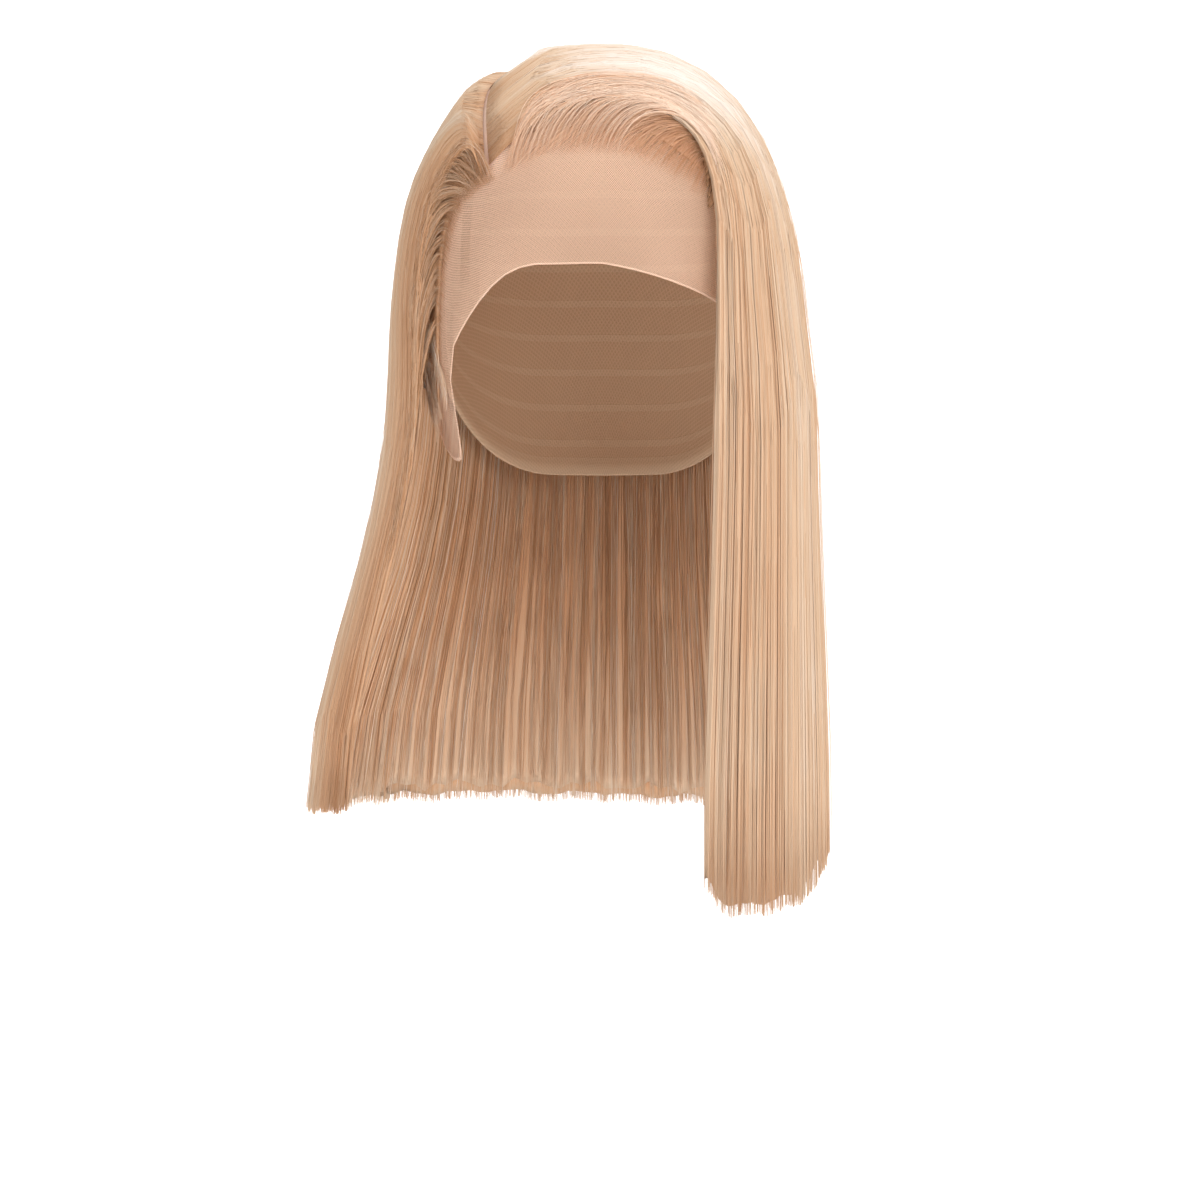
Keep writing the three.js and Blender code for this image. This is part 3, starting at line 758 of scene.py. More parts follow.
def strand_ways(rng, side0, steps):
    """The ways of the points along each strand, from its root to its tip, and the roots."""
    count = len(side0)
    share = np.linspace(0, 1, steps)[None, :]
    stagger = (0.5 * np.sin(side0 * 55) + rng.uniform(-0.1, 0.1, count))[:, None] / (steps - 1)
    share = share + stagger * np.minimum(1, 6 * share * (1 - share))
    root = (rng.uniform(0, LATE_ROOT, count) * (rng.random(count) < 0.5))[:, None]
    stop = (1 - UNEVEN_TIPS * rng.random(count) ** 2)[:, None]
    return down_a_strand(share) + root * (1 - share) ** 4 - 2 * (1 - stop) * share ** 4, root


def long_strands(node_name, slot_name, start, end, tone, inside, seed, material, look):
    """The combed strands over a mass of long hair, in locks. Inside is the share on its inner side."""
    rng = np.random.default_rng(SEED + seed)
    count = look.strands
    start = start - OVERLAP * (start > 0)
    end = end + OVERLAP * (end < 1)
    side0 = np.sort(rng.uniform(start, end, count))
    lock_count = int((end - start) * look.locks)
    edges = np.linspace(start, end, lock_count + 1)
    edges[1:-1] += rng.uniform(-LOCK_JITTER, LOCK_JITTER, lock_count - 1) * (edges[1] - edges[0])
    lock = np.clip(np.searchsorted(edges, side0) - 1, 0, lock_count - 1)
    middle = ((edges[:-1] + edges[1:]) / 2)[lock]
    from_middle = np.abs(side0 - middle) / ((edges[1:] - edges[:-1]) / 2)[lock]
    way, root = strand_ways(rng, side0, look.steps)
    gather = LOCK_GATHER * ease(0.3, 2, way) * rng.uniform(0.3, 1, count)[:, None]
    wander = np.zeros(way.shape)
    for size, beat in WANDER:
        phase = rng.uniform(0, 2 * math.pi, count)[:, None]
        swing = rng.normal(0, 1, count)[:, None] * np.sin(beat * way * 2 + phase)
        wander += size * swing * ease(0.0, 0.4, way)
    side = side0[:, None] + (middle - side0)[:, None] * gather + wander
    side = np.clip(side, start + STRAND_MARGIN, end - STRAND_MARGIN)
    point, into, depth = combed_wall(side, way)

    sunk = rng.uniform(-0.15, look.layer, count)[:, None]
    sunk = sunk + look.relief * (from_middle ** 2)[:, None] * ease(0.08, 0.7, way)
    stray = (rng.random(count) < STRAY_SHARE)[:, None]
    sunk = np.where(stray, -rng.uniform(0.3, 1.3, count)[:, None] * ease(0.1, 1, way), sunk)
    is_inner = (rng.random(count) < inside)[:, None]
    sunk = np.where(is_inner, depth + 0.2 - sunk * 0.6, sunk)
    settle = rise_left(side, way - root)
    to_lace = np.maximum(height_over_head(point) - LACE_WALL - 0.2, 0)
    away = mix(np.minimum(sunk, depth + 0.4), to_lace, settle)
    point = point + into * away[..., None]
    from_line = ((1 - ease(0, 0.035, way)) * (root == 0))[..., None]
    point = mix(point, parting_seat(side), from_line)
    point[..., 2] += lock_step(side) * 0.9 * ease(1.5, 2, way)

    radius = look.strand * rng.uniform(0.7, 1.25, count)[:, None] * mix(1, 0.55, ease(1.9, 2, way))
    radius = radius * mix(0.5, 1, ease(0, 0.05, way - root))
    # Strands away from a lock's middle lie lower and are a little darker: painted shade in the hollows
    # between locks. The other terms are random tone.
    own = rng.normal(0, 0.045, count) + 0.2 * (rng.random(count) < 0.05) + 0.06 * np.sin(lock * 12.9)
    own = own + 0.06 * from_middle ** 2 + 0.04 * np.sin(side0 * 210) + 0.03 * np.sin(side0 * 1130)
    shade = tone(side, way) + 0.12 * settle
    add_strands(node_name + "_strands", node_name, material, point, radius, -into, own, shade)


def side_tone(side, way):
    """Golden next to the face, partly painted shade where the side hair is shaded, and paler round the side,
    partly painted light where it is lit. A little darker by the parting and at the tips.
    """
    return 0.5 - 0.24 * ease(0.02, 0.2, side) + 0.1 * (1 - ease(0.0, 0.25, way)) + 0.05 * ease(1.2, 2, way)


def back_tone(side, way):
    """Pale with faint broad bands, and more golden at the tips."""
    bands = 0.08 * np.sin(side * 60) ** 2
    return 0.22 + bands + 0.1 * (1 - ease(0.0, 0.2, way)) + 0.22 * ease(1.7, 1.95, way)


def sweep_tone(side, way):
    """Platinum on top, partly a painted highlight, and darker down to the widest level. The golden lines at
    its front edge over the brow and the golden stretch beside the parting are painted shade. More golden at
    the tips.
    """
    # Painted shade along the front edge over the brow, and beside the parting
    edge = ease(0.95, 0.995, side) * (1 - ease(0.5, 1.0, way))
    parting_shade = (1 - ease(0.0, 0.3, way)) * ease(0.66, 0.85, side)
    tips = ease(1.88, 2, way)
    return 0.06 + 0.3 * ease(0.35, 0.8, way) + 0.16 * edge + 0.3 * parting_shade + 0.12 * tips


def nape_tone(side, way):
    """Golden, in the shade of the hair over it."""
    return 0.55 - 0.08 * ease(1.3, 1.8, way) - 0.06 * ease(1.82, 1.93, way)


# Name, slot, first and last side, tone, and the share of its strands that lie inside
LONG_HAIR = (
    ("side_hair", "hair_golden", 0.0, SIDE_TO_BACK - DIVIDE, side_tone, 0.12),
    ("back_hair", "hair_light", SIDE_TO_BACK + DIVIDE, BACK_TO_SWEEP - DIVIDE, back_tone, 0.0),
    ("sweep_hair", "hair_light", BACK_TO_SWEEP + DIVIDE, 1.0, sweep_tone, 0.14),
)


def build_long_hair(context):
    made = finishes(context)
    look = context.scene.bob_wig.hair
    for k, (*piece, inside) in enumerate(LONG_HAIR):
        hair_mass(*piece, made["hair_mass"])
        long_strands(*piece, inside, k + 1, made["hair_strands"], look)


# Nape hair

NAPE_GRID = (90, 60)
NAPE_STEPS = 8
NAPE_CROWDING = 1.6
NAPE_LOCKS = 150


def nape_wall(side, way):
    """The point and inward way of the long hair there, and the depth and thickness of the layer inside it."""
    point, into, depth = hair_wall(side, way)
    outer = np.maximum(depth, TIP_THICKNESS) + 2 * LAYER_GAP
    hanging = mix(NAPE_THICKNESS, NAPE_TIP_THICKNESS, ease(1.4, 1 + NAPE_LENGTH, way))
    room = room_to_head(point, into, CAP_WALL + LAYER_GAP) - outer
    return point, into, outer, np.maximum(np.minimum(hanging, room), LEAST_THICKNESS)


def nape_mass_shape(across, down):
    inner, leg = fold(down)
    side = mix(NAPE_FROM, NAPE_TO, across)
    uneven = 0.008 * np.sin(side * 149) + 0.008 * np.sin(side * 367) + 0.02
    way = 1 + mix(NAPE_ROOT_DROP, NAPE_LENGTH + uneven, leg)
    point, into, outer, thick = nape_wall(side, way)
    full = rounded(np.minimum(across, 1 - across) / 0.03, (1 - leg) / 0.06, leg / 0.03)
    middle, half = outer + thick / 2, thick / 2 * full
    away = np.where(inner, middle + half * 0.8, middle - half)
    # Painted shade: darker higher up, under the long hair over it.
    shown = nape_tone(side, way) + 0.12 * (1 - ease(1.5, 1.85, way))
    return point + into * away[..., None], hair_map(side, way), shown


def build_nape_hair(context):
    """The under layer at the nape, seen from inside."""
    made = finishes(context)
    look = context.scene.bob_wig.hair
    rng = np.random.default_rng(SEED + 11)
    add_mass("nape_hair_mass", "nape_hair", made["hair_mass"], NAPE_GRID, nape_mass_shape)

    count = look.nape_strands
    side0 = np.sort(rng.uniform(NAPE_FROM, NAPE_TO, count))
    stop = 1 + NAPE_LENGTH + 0.052 - 0.035 * rng.random(count) ** 2
    share = np.linspace(0, 1, NAPE_STEPS) ** NAPE_CROWDING
    way = 1 + NAPE_ROOT_DROP + (stop - 1 - NAPE_ROOT_DROP)[:, None] * share
    phase = rng.uniform(0, 2 * math.pi, count)[:, None]
    lock = np.floor(side0 * NAPE_LOCKS)
    middle = (lock + 0.5 + 0.25 * np.sin(lock * 7.1)) / NAPE_LOCKS
    side = side0[:, None] + (middle - side0)[:, None] * 0.5 * ease(1.1, 1.9, way)
    side = side + 0.0016 * rng.normal(0, 1, count)[:, None] * np.sin(way * 5 + phase)
    side = np.clip(side, NAPE_FROM + 0.001, NAPE_TO - 0.001)
    point, into, outer, thick = nape_wall(side, way)
    away = outer + thick + 0.4 - rng.uniform(0.0, 1.0, count)[:, None]
    point = point + into * away[..., None]
    radius = look.strand * 1.15 * rng.uniform(0.7, 1.2, count)[:, None] * mix(1, 0.5, ease(1.7, 2, way))
    own = rng.normal(0, 0.12, count) + 0.1 * np.sin(lock * 3.3)
    add_strands("nape_hair_strands", "nape_hair", made["hair_strands"], point, radius, into,
                own, nape_tone(side, way))


# Short hair

BEND_POINTS = 11
RUN_POINTS = 4
HAIRLINE_POINTS = 10
HAIRLINE_BUNDLES = 46
HAIRLINE_DEPTH = 13
HAIRLINE_GRID = (60, 24)
LIFTED_BUNDLES = 22
LIFTED_DEPTH = 11
TEMPLE_BUNDLES = 24
TEMPLE_DEPTH = 7
TEMPLE_GRID = (60, 20)
CURL_POINTS = 14
CURL_LOCKS = 7
BUNDLE_SPREAD = 0.3
CREST_WIDTH = 0.26
ROOT_LIFT = 0.1
BROW_MASS_FROM = 0.42
SHORT_MAP_ROUND = 110
BROW_MAP_UP = 40
TEMPLE_MAP_UP = 20


def comb_into(root, leave, side, way, follow, curve, least):
    """Paths that leave their roots, bend over onto the long hair at a side and way, and run on with it."""
    arrive = combed_wall(side, way)[0]
    span = length(arrive - root)
    first = root + leave * span * curve[0]
    second = arrive - flow(side, way) * span * curve[1]
    t = np.linspace(0, 1, BEND_POINTS)[None, :, None]
    bend = (
        root[:, None] * (1 - t) ** 3
        + first[:, None] * 3 * t * (1 - t) ** 2
        + second[:, None] * 3 * t ** 2 * (1 - t)
        + arrive[:, None] * t ** 3
    )
    along = np.linspace(1 / RUN_POINTS, 1, RUN_POINTS)[None, :]
    drift = np.clip(side[:, None] + follow[1] * along, STRAND_MARGIN, 1 - STRAND_MARGIN)
    run = combed_wall(drift, way[:, None] + follow[0] * along)[0]
    path = np.concatenate([bend, run], 1)
    lifted = over_head(path - HEAD["centre"], np.maximum(height_over_head(path), least))
    return lifted, np.concatenate([t[0, :, 0], 1 + along[0]])


def up_from_hairline(turn, tilt, goal, up, middle_turn, climb):
    """Directions on a curve from the hairline up to where the hair goes in under the sweep."""
    return (
        direction(turn, tilt) * ((1 - up) ** 2)[..., None]
        + direction(middle_turn, tilt - climb) * (2 * up * (1 - up))[..., None]
        + goal * (up ** 2)[..., None]
    )


def under_sweep(strand, tuck):
    """The direction of the place under the sweep's front edge that hair from the brow runs to."""
    goal = unit(on_hair(np.ones(strand.shape), strand) - HEAD["centre"])
    return unit(mix(goal, np.array([0, 0, 1.0]), np.radians(tuck)[..., None]))


def hairline_mass_shape(across, down):
    inner, leg = fold(down)
    rise = mix(BROW_MASS_FROM, 1, leg)
    turn, tilt, strand, tuck = np.moveaxis(between(HAIRLINE, across), -1, 0)
    way = up_from_hairline(turn, tilt, under_sweep(strand, tuck), rise, turn, HAIRLINE_CLIMB)
    full = rounded(np.minimum(across, 1 - across) / 0.05, np.minimum(leg, 1 - leg) / 0.12)
    low = LACE_WALL + SEAT_GAP * 0.5
    above = low + np.where(inner, 0, 0.9 * ease(0, 0.8, leg) + 0.12) * full
    flat = np.stack([across * SHORT_MAP_ROUND, rise * BROW_MAP_UP], -1)
    # Painted shade: the mass under the brow strands is golden and darker higher up, towards the sweep's edge.
    return over_head(way, above), flat, 0.62 + 0.15 * leg


def build_hairline_hair(context):
    """Hair tied into the lace at the brow, combed up and in under the sweep, with fine hairs at its edge."""
    made = finishes(context)
    look = context.scene.bob_wig.hair
    rng = np.random.default_rng(SEED + 21)
    count = look.hairline_strands
    up = np.linspace(0, 1, HAIRLINE_POINTS)[None, :]
    side0 = np.sort(rng.uniform(-0.02, 1.03, count))
    place = side0 * HAIRLINE_BUNDLES
    shifts = 0.3 * rng.normal(0, 1, HAIRLINE_BUNDLES + 4)
    bundle = (np.floor(place) + 0.5 + shifts[(place + 2).astype(int)]) / HAIRLINE_BUNDLES
    from_middle = np.abs(side0 - bundle) * HAIRLINE_BUNDLES
    side = side0[:, None] + (bundle - side0)[:, None] * 0.7 * ease(0.05, 0.7, up)
    back = (rng.random(count) ** 1.5 * HAIRLINE_DEPTH)[:, None]
    turn, tilt, strand, tuck = np.moveaxis(between(HAIRLINE, np.clip(side, 0, 1)), -1, 0)
    turn = turn + rng.normal(0, 0.5, count)[:, None]
    goal = under_sweep(np.clip(strand + 0.1, 0, 1), tuck + 2)
    tilt = tilt - back + rng.normal(0, 0.8, count)[:, None]
    way = up_from_hairline(turn, tilt, goal, up, turn - 5, 0.7 * HAIRLINE_CLIMB)
    lift = (rng.uniform(0.1, 0.6, count) + 0.5 * np.exp(-(from_middle / 0.3) ** 2))[:, None]
    above = LACE_WALL + ROOT_LIFT + (SEAT_GAP + HAIRLINE_THICKNESS + 0.5) * lift * ease(0, 0.6, up)
    point = over_head(way, above + 0 * turn)
    wobble = rng.normal(0, 0.25, (count, 1, 3)) * np.sin(up * 3 + rng.uniform(0, 6, (count, 1)))[..., None]
    point = point + wobble * ease(0, 0.3, up)[..., None]
    outward = unit(point - HEAD["centre"])
    radius = look.strand * 0.68 * rng.uniform(0.6, 1.2, count)[:, None] * mix(0.35, 1, ease(0, 0.3, up))
    # Painted light and shade: strands are darker away from their bundle's middle, in the gaps between
    # bundles, and towards the far end of the hairline where they go under the sweep. They are lighter near
    # the parting end, a painted highlight, and darker towards their tops, under the sweep's edge.
    own = rng.normal(0.46, 0.07, count) + 0.2 * np.minimum(from_middle, 0.8) + 0.12 * ease(0.4, 0.9, side0)
    own = own - 0.16 * (1 - ease(0.1, 0.35, side0))
    add_strands("hairline_strands", "hairline_hair", made["brow_strands"], point, radius,
                outward, own, 0.2 * ease(0.5, 1, up))
    lifted_brow_strands(made, look, rng)
    add_mass("hairline_mass", "hairline_hair", made["brow_mass"], HAIRLINE_GRID,
             hairline_mass_shape)


def lifted_brow_strands(made, look, rng):
    """Bundles beside the parting that are lifted from the hairline over the front edge of the sweep."""
    count = look.lifted_strands
    _, share, crest = in_bundles(rng, LIFTED_BUNDLES, count)
    share = share * 0.5
    turn, tilt, strand, _ = np.moveaxis(between(HAIRLINE, share), -1, 0)
    back = rng.random(count) ** 1.3 * LIFTED_DEPTH
    root = over_head(direction(turn - 0.25 * back, tilt - back), LACE_WALL + ROOT_LIFT + 0 * turn)
    ahead = over_head(direction(turn - 2, tilt - back - 6), LACE_WALL + 6 + 0 * turn)
    inner = 1 - ease(0.1, 0.5, share)
    side = 0.994 - (0.01 + 0.045 * inner) * rng.random(count) - 0.02 * inner * (back / LIFTED_DEPTH)
    way = strand - 0.01 + 0.06 * rng.random(count) + 0.04 * share
    leave = unit(ahead - root)
    path, along = comb_into(root, leave, side, way, (0.2, -0.012), (0.45, 0.45), LACE_WALL + 0.15)
    outward = unit(path - HEAD["centre"])
    hump = (0.5 + 0.9 * crest) * ease(0, 0.5, along) * (1 - ease(1.0, 2, along)) - 0.3 * ease(1.5, 2, along)
    point = path + outward * (hump + rng.uniform(-0.1, 0.3, count)[:, None])[..., None]
    radius = look.strand * 0.72 * rng.uniform(0.6, 1.2, count)[:, None] * fine_ends(along)
    # Painted shade: strands away from their bundle's crest are darker, in the gaps between bundles. They pale
    # along their run onto the sweep, like its tone.
    own = rng.normal(0.13, 0.07, count) + 0.34 * (1 - crest[:, 0])
    add_strands("lifted_brow_strands", "hairline_hair", made["brow_strands"], point, radius,
                outward, own, -0.22 * ease(0.6, 1.4, along)[None, :])


def in_bundles(rng, bundles, count):
    """Each strand's bundle, its share of the way along their row, and how near the bundle's crest it is."""
    bundle = rng.integers(0, bundles, count)
    spread = rng.normal(0, BUNDLE_SPREAD, count)
    share = np.clip((bundle + 0.5 + spread) / bundles, 0, 1)
    return bundle, share, np.exp(-(spread / CREST_WIDTH) ** 2)[:, None]


def fine_ends(along):
    """The share of its radius that a short strand has along it: fine at its root and at its tip."""
    return mix(0.35, 1, ease(0, 0.3, along)) * mix(1, 0.4, ease(1.6, 2, along))


def temple_mass_shape(along, down):
    inner, leg = fold(down)
    turn, tilt, strand = np.moveaxis(between(TEMPLE, along), -1, 0)
    root = over_head(direction(turn, tilt), 0 * turn)
    tuck = on_hair(np.full(strand.shape, TEMPLE_TUCK), strand)
    middle = mix(root, tuck, mix(0.3, 0.98, leg)[..., None])
    full = rounded(np.minimum(along, 1 - along) / 0.04, np.minimum(leg, 1 - leg) / 0.15)
    above = LACE_WALL + SEAT_GAP * 0.5 + np.where(inner, 0, 0.8) * full
    flat = np.stack([along * SHORT_MAP_ROUND, leg * TEMPLE_MAP_UP], -1)
    # Painted shade: the mass under the waves is golden and darker towards the side hair.
    return over_head(middle - HEAD["centre"], above), flat, 0.64 + 0.1 * leg


def build_temple_waves(context):
    """The waved hair of the right temple: small arching bundles that turn back in under the side hair."""
    made = finishes(context)
    look = context.scene.bob_wig.hair
    rng = np.random.default_rng(SEED + 31)
    count = look.temple_strands
    bundle, share, crest = in_bundles(rng, TEMPLE_BUNDLES, count)
    turn, tilt, strand = np.moveaxis(between(TEMPLE, share), -1, 0)
    back = rng.random(count) ** 1.3 * TEMPLE_DEPTH
    root = over_head(direction(turn + back, tilt), LACE_WALL + ROOT_LIFT + 0 * turn)
    ahead = over_head(direction(turn + back + 8, tilt - 9), LACE_WALL + 1.5 + 0 * turn)
    side = 0.001 + 0.022 * rng.random(count) ** 1.5
    loose = rng.uniform(0.6, 1.5, TEMPLE_BUNDLES)[bundle] * rng.uniform(0.85, 1.15, count)
    way = np.clip(strand + 0.07 + 0.08 * loose + 0.03 * rng.random(count), 0.05, 1.9)
    curve = (0.42 * loose[:, None], 0.5)
    path, along = comb_into(root, unit(ahead - root), side, way, (0.16, 0.004), curve, LACE_WALL + 0.2)
    outward = unit(path - HEAD["centre"])
    hump = (0.3 + 1.4 * crest) * np.sin(math.pi * np.minimum(along / 1.3, 1)) - 0.5 * ease(1.4, 2, along)
    ripple = 0.7 * np.sin(along * 4.4 + 2.5 * np.sin(bundle * 3.7)[:, None]) * ease(0.15, 0.6, along)
    across = unit(np.cross(np.gradient(path, axis=1), outward))
    point = path + outward * (hump + rng.uniform(-0.1, 0.4, count)[:, None])[..., None]
    point = point + across * (ripple * (1 - ease(1, 1.6, along)))[..., None]
    radius = look.strand * 0.6 * rng.uniform(0.6, 1.2, count)[:, None] * fine_ends(along)
    # Painted highlight and shade: strands on a bundle's crest are paler and those off it darker. Along the
    # way they are darker where they bend in towards the side hair and paler again as they run on with it.
    own = rng.normal(0.44, 0.09, count) + 0.3 * (1 - crest[:, 0])
    shade = (0.12 * ease(0.5, 0.9, along) - 0.12 * ease(1.0, 1.7, along))[None, :]
    add_strands("temple_wave_strands", "temple_waves", made["hair_strands"], point, radius,
                outward, own, shade)
    add_mass("temple_wave_mass", "temple_waves", made["hair_mass"], TEMPLE_GRID,
             temple_mass_shape)
    temple_curls(made, look)


def temple_curls(made, look):
    """The looser curls that fall behind the ear tab."""
    rng = np.random.default_rng(SEED + 37)
    count = look.curl_strands
    along = np.linspace(0, 1, CURL_POINTS)[None, :]
    lock = rng.integers(0, CURL_LOCKS, count)[:, None]
    turn = 53 + 3.2 * lock + rng.normal(0, 0.9, count)[:, None]
    fall = (21 + 2 * np.sin(lock * 3.0)) * along
    tilt = 97 + 1.2 * lock + rng.normal(0, 1.5, count)[:, None] + fall
    turn = turn + (3.4 - 0.25 * lock) * np.sin(along * (6.0 + 0.5 * lock) + lock * 2.1) * ease(0, 0.4, along)
    above = LACE_WALL + 0.3 + rng.uniform(0.2, 1.6, count)[:, None] * ease(0, 0.2, along)
    point = over_head(direction(turn, tilt), above)
    outward = unit(point - HEAD["centre"])
    radius = look.strand * 0.55 * rng.uniform(0.6, 1.2, count)[:, None] * mix(1, 0.3, ease(0.8, 1, along))
    own = rng.normal(0.3, 0.14, count)
    add_strands("temple_curl_strands", "temple_waves", made["hair_strands"], point, radius,
                outward, own, 0.1 * along)


# Lace and cap

PARTING_POINTS = 60
PARTING_TINT = (3.5, 6.5)
PARTING_TINT_FRONT = (-84, -78)
PARTING_TINT_BOTTOM = -60
LACE_GRID = (128, 54)
CAP_GRID = (84, 30)
LACE_NET_METRES = 0.0004
CAP_NET_METRES = 0.001
EDGE_BLUR = 2
HEM_BLUR = 9.0
HEAD_MAP_SHARE = 0.55


def at_turn(rows, column, turn, blur):
    """A table's column at a turn, with its corners rounded off."""
    near = [np.interp(turn + shift * blur, rows[:, 0], rows[:, column]) for shift in np.linspace(-1, 1, 7)]
    return sum(near) / len(near)


def lace_tilt(turn):
    size = np.abs(turn)
    blur = mix(6, 1.5, ease(30, 40, size))
    front = mix(at_turn(LACE_EDGE, 2, size, blur), at_turn(LACE_EDGE, 1, size, blur), ease(-4, 4, turn))
    return np.where(size <= CAP_EDGES[0, 0], front, at_turn(CAP_EDGES, 1, size, EDGE_BLUR))


def head_map(turn, tilt):
    """A flat map of the head in mm, as seen from over the crown."""
    far = np.radians(tilt) * HEAD_BREADTH * HEAD_MAP_SHARE
    return np.stack([far * np.sin(np.radians(turn)), far * np.cos(np.radians(turn))], -1)


def thicken(piece, thickness):
    wall = piece.modifiers.new("thickness", "SOLIDIFY")
    wall.thickness = thickness
    wall.offset = 0
    wall.use_rim = True


def build_lace_front(context):
    made = finishes(context)
    line = np.stack(parting_xy(np.linspace(0, 1, PARTING_POINTS)), -1)

    def shape(across, down):
        turn = mix(-180, 180, across) + TAB_CROWDING * np.sin(4 * math.pi * across)
        tilt = lace_tilt(turn) * down
        place = over_head(direction(turn, tilt), np.full(turn.shape, LACE_WALL / 2))
        gap = np.sqrt(((place[:, None, :2] - line[None]) ** 2).sum(-1)).min(1)
        tint = (1 - ease(*PARTING_TINT, gap)) * ease(*PARTING_TINT_FRONT, place[:, 1])
        return place, head_map(turn, tilt), np.where(place[:, 2] > PARTING_TINT_BOTTOM, tint, 0)

    piece = sheet_from_grid("lace_front_net", *LACE_GRID, shape, "lace_map")
    finish_piece(piece, ["lace_front"], made["sheer_lace"])
    thicken(piece, LACE_NET_METRES)


def build_wefted_cap(context):
    made = finishes(context)
    gap = math.degrees(SEAM_GAP / (HEAD_BREADTH / 2))
    first = CAP_EDGES[0, 0] + CAP_PAST_TAB

    def shape(across, down):
        turn = mix(first, 360 - first, across)
        size = np.minimum(turn, 360 - turn)
        seam = lace_tilt(size) + gap
        tilt = mix(seam, at_turn(CAP_EDGES, 2, size, HEM_BLUR), down)
        place = over_head(direction(turn, tilt), np.full(turn.shape, CAP_WALL / 2))
        return place, head_map(turn, tilt), 0 * turn

    piece = sheet_from_grid("wefted_cap_net", *CAP_GRID, shape, "lace_map")
    finish_piece(piece, ["wefted_cap"], made["stretch_cap"])
    thicken(piece, CAP_NET_METRES)


# Stage

CAMERA_PLACE = (-0.0013, -1.4, -0.238)
CAMERA_TARGET = (-0.0013, 0, -0.238)
CAMERA_LENS = 95.45
CAMERA_SENSOR = 36
FLOOR_HALF_WIDTH = 4
FLOOR_LEVEL = -0.62
FLOOR_FRONT = -3
FLOOR_BACK = 1.2
BEND_RADIUS = 1
BEND_STEPS = 16
BACKDROP_HEIGHT = 3
LAMP_TARGET = (0, 0, -0.16)
# Name, place, width, height, and share of the key light's power
LAMPS = (
    ("key_light", (0.75, -1.35, 0.65), 0.9, 0.9, 1),
    ("fill_light", (-1.3, -1.2, 0.1), 1.2, 1.6, 0.28),
    ("top_light", (0.1, 0.2, 1.3), 1.2, 1.2, 0.6),
    ("back_light", (0.2, 1.3, 0.9), 1.4, 0.8, 0.4),
)


def aim(thing, place, target):
    """Turns a lamp or the camera from its place to its target."""
    offset = np.array(target) - np.array(place)
    rise = math.atan2(offset[2], math.hypot(offset[0], offset[1]))
    thing.location = place
    thing.rotation_euler = (math.pi / 2 + rise, 0, math.atan2(offset[1], offset[0]) - math.pi / 2)


def lamp(name, place, width, height, energy):
    light = bpy.data.lights.new(name, "AREA")
    light.shape = "RECTANGLE"
    light.size = width
    light.size_y = height
    light.energy = energy
    thing = bpy.data.objects.new(name, light)
    bpy.context.scene.collection.objects.link(thing)
    aim(thing, place, LAMP_TARGET)


def extruded(work, edges, move):
    """Extrudes edges by a move, and gives the new edges and their corners."""
    grown = bmesh.ops.extrude_edge_only(work, edges=edges)["geom"]
    corners = [item for item in grown if isinstance(item, bmesh.types.BMVert)]
    bmesh.ops.translate(work, verts=corners, vec=move)
    return [item for item in grown if isinstance(item, bmesh.types.BMEdge)], corners


def backdrop_mesh():
    """A floor that bends up into a backdrop."""
    mesh = bpy.data.meshes.new("backdrop")
    work = bmesh.new()
    start = work.verts.new((-FLOOR_HALF_WIDTH, FLOOR_FRONT, FLOOR_LEVEL))
    end = work.verts.new((FLOOR_HALF_WIDTH, FLOOR_FRONT, FLOOR_LEVEL))
    front = work.edges.new((start, end))
    rim, corners = extruded(work, [front], (0, FLOOR_BACK - FLOOR_FRONT, 0))
    bend = (0, FLOOR_BACK, FLOOR_LEVEL + BEND_RADIUS)
    bmesh.ops.spin(
        work, geom=rim + corners, cent=bend, axis=(1, 0, 0), angle=math.pi / 2, steps=BEND_STEPS
    )
    top = []
    for edge in work.edges:
        a, b = (corner.co for corner in edge.verts)
        at_back = min(a.y, b.y) > FLOOR_BACK + BEND_RADIUS - 1e-4
        if at_back and abs(a.x - b.x) > FLOOR_HALF_WIDTH:
            top.append(edge)
    extruded(work, top, (0, 0, BACKDROP_HEIGHT))
    bmesh.ops.recalc_face_normals(work, faces=work.faces)
    work.to_mesh(mesh)
    work.free()
    return mesh


def build_stage(context):
    stage = context.scene.bob_wig.stage
    camera = bpy.data.cameras.new("camera")
    camera.lens = CAMERA_LENS
    camera.sensor_width = CAMERA_SENSOR
    view = bpy.data.objects.new("camera", camera)
    context.scene.collection.objects.link(view)
    aim(view, CAMERA_PLACE, CAMERA_TARGET)
    context.scene.camera = view

    backdrop = bpy.data.objects.new("backdrop", backdrop_mesh())
    context.scene.collection.objects.link(backdrop)
    backdrop.data.shade_smooth()
    material, _, shader = new_material("pale_paper")
    shader.inputs["Base Color"].default_value = (*stage.paper, 1)
    shader.inputs["Roughness"].default_value = 0.9
    shader.inputs["Emission Color"].default_value = (1, 1, 1, 1)
    shader.inputs["Emission Strength"].default_value = stage.paper_glow
    backdrop.data.materials.append(material)

    world = bpy.data.worlds.new("studio")
    context.scene.world = world
    world.use_nodes = True
    sky = world.node_tree.nodes["Background"]
    sky.inputs["Color"].default_value = (1, 1, 1, 1)
    sky.inputs["Strength"].default_value = stage.ambient
    context.scene.view_settings.view_transform = "Standard"
    for name, place, width, height, share in LAMPS:
        lamp(name, place, width, height, stage.key * share)


# Settings, operators and panel

def colour_setting(name, description, default):
    return bpy.props.FloatVectorProperty(
        name=name, description=description, default=default, subtype="COLOR", min=0, max=1
    )


def number_setting(name, description, default, least, most):
    return bpy.props.FloatProperty(name=name, description=description, default=default, min=least, max=most)


def count_setting(name, description, default, least, most):
    return bpy.props.IntProperty(name=name, description=description, default=default, min=least, max=most)


def group_setting(kind, name, description):
    return bpy.props.PointerProperty(type=kind, name=name, description=description)


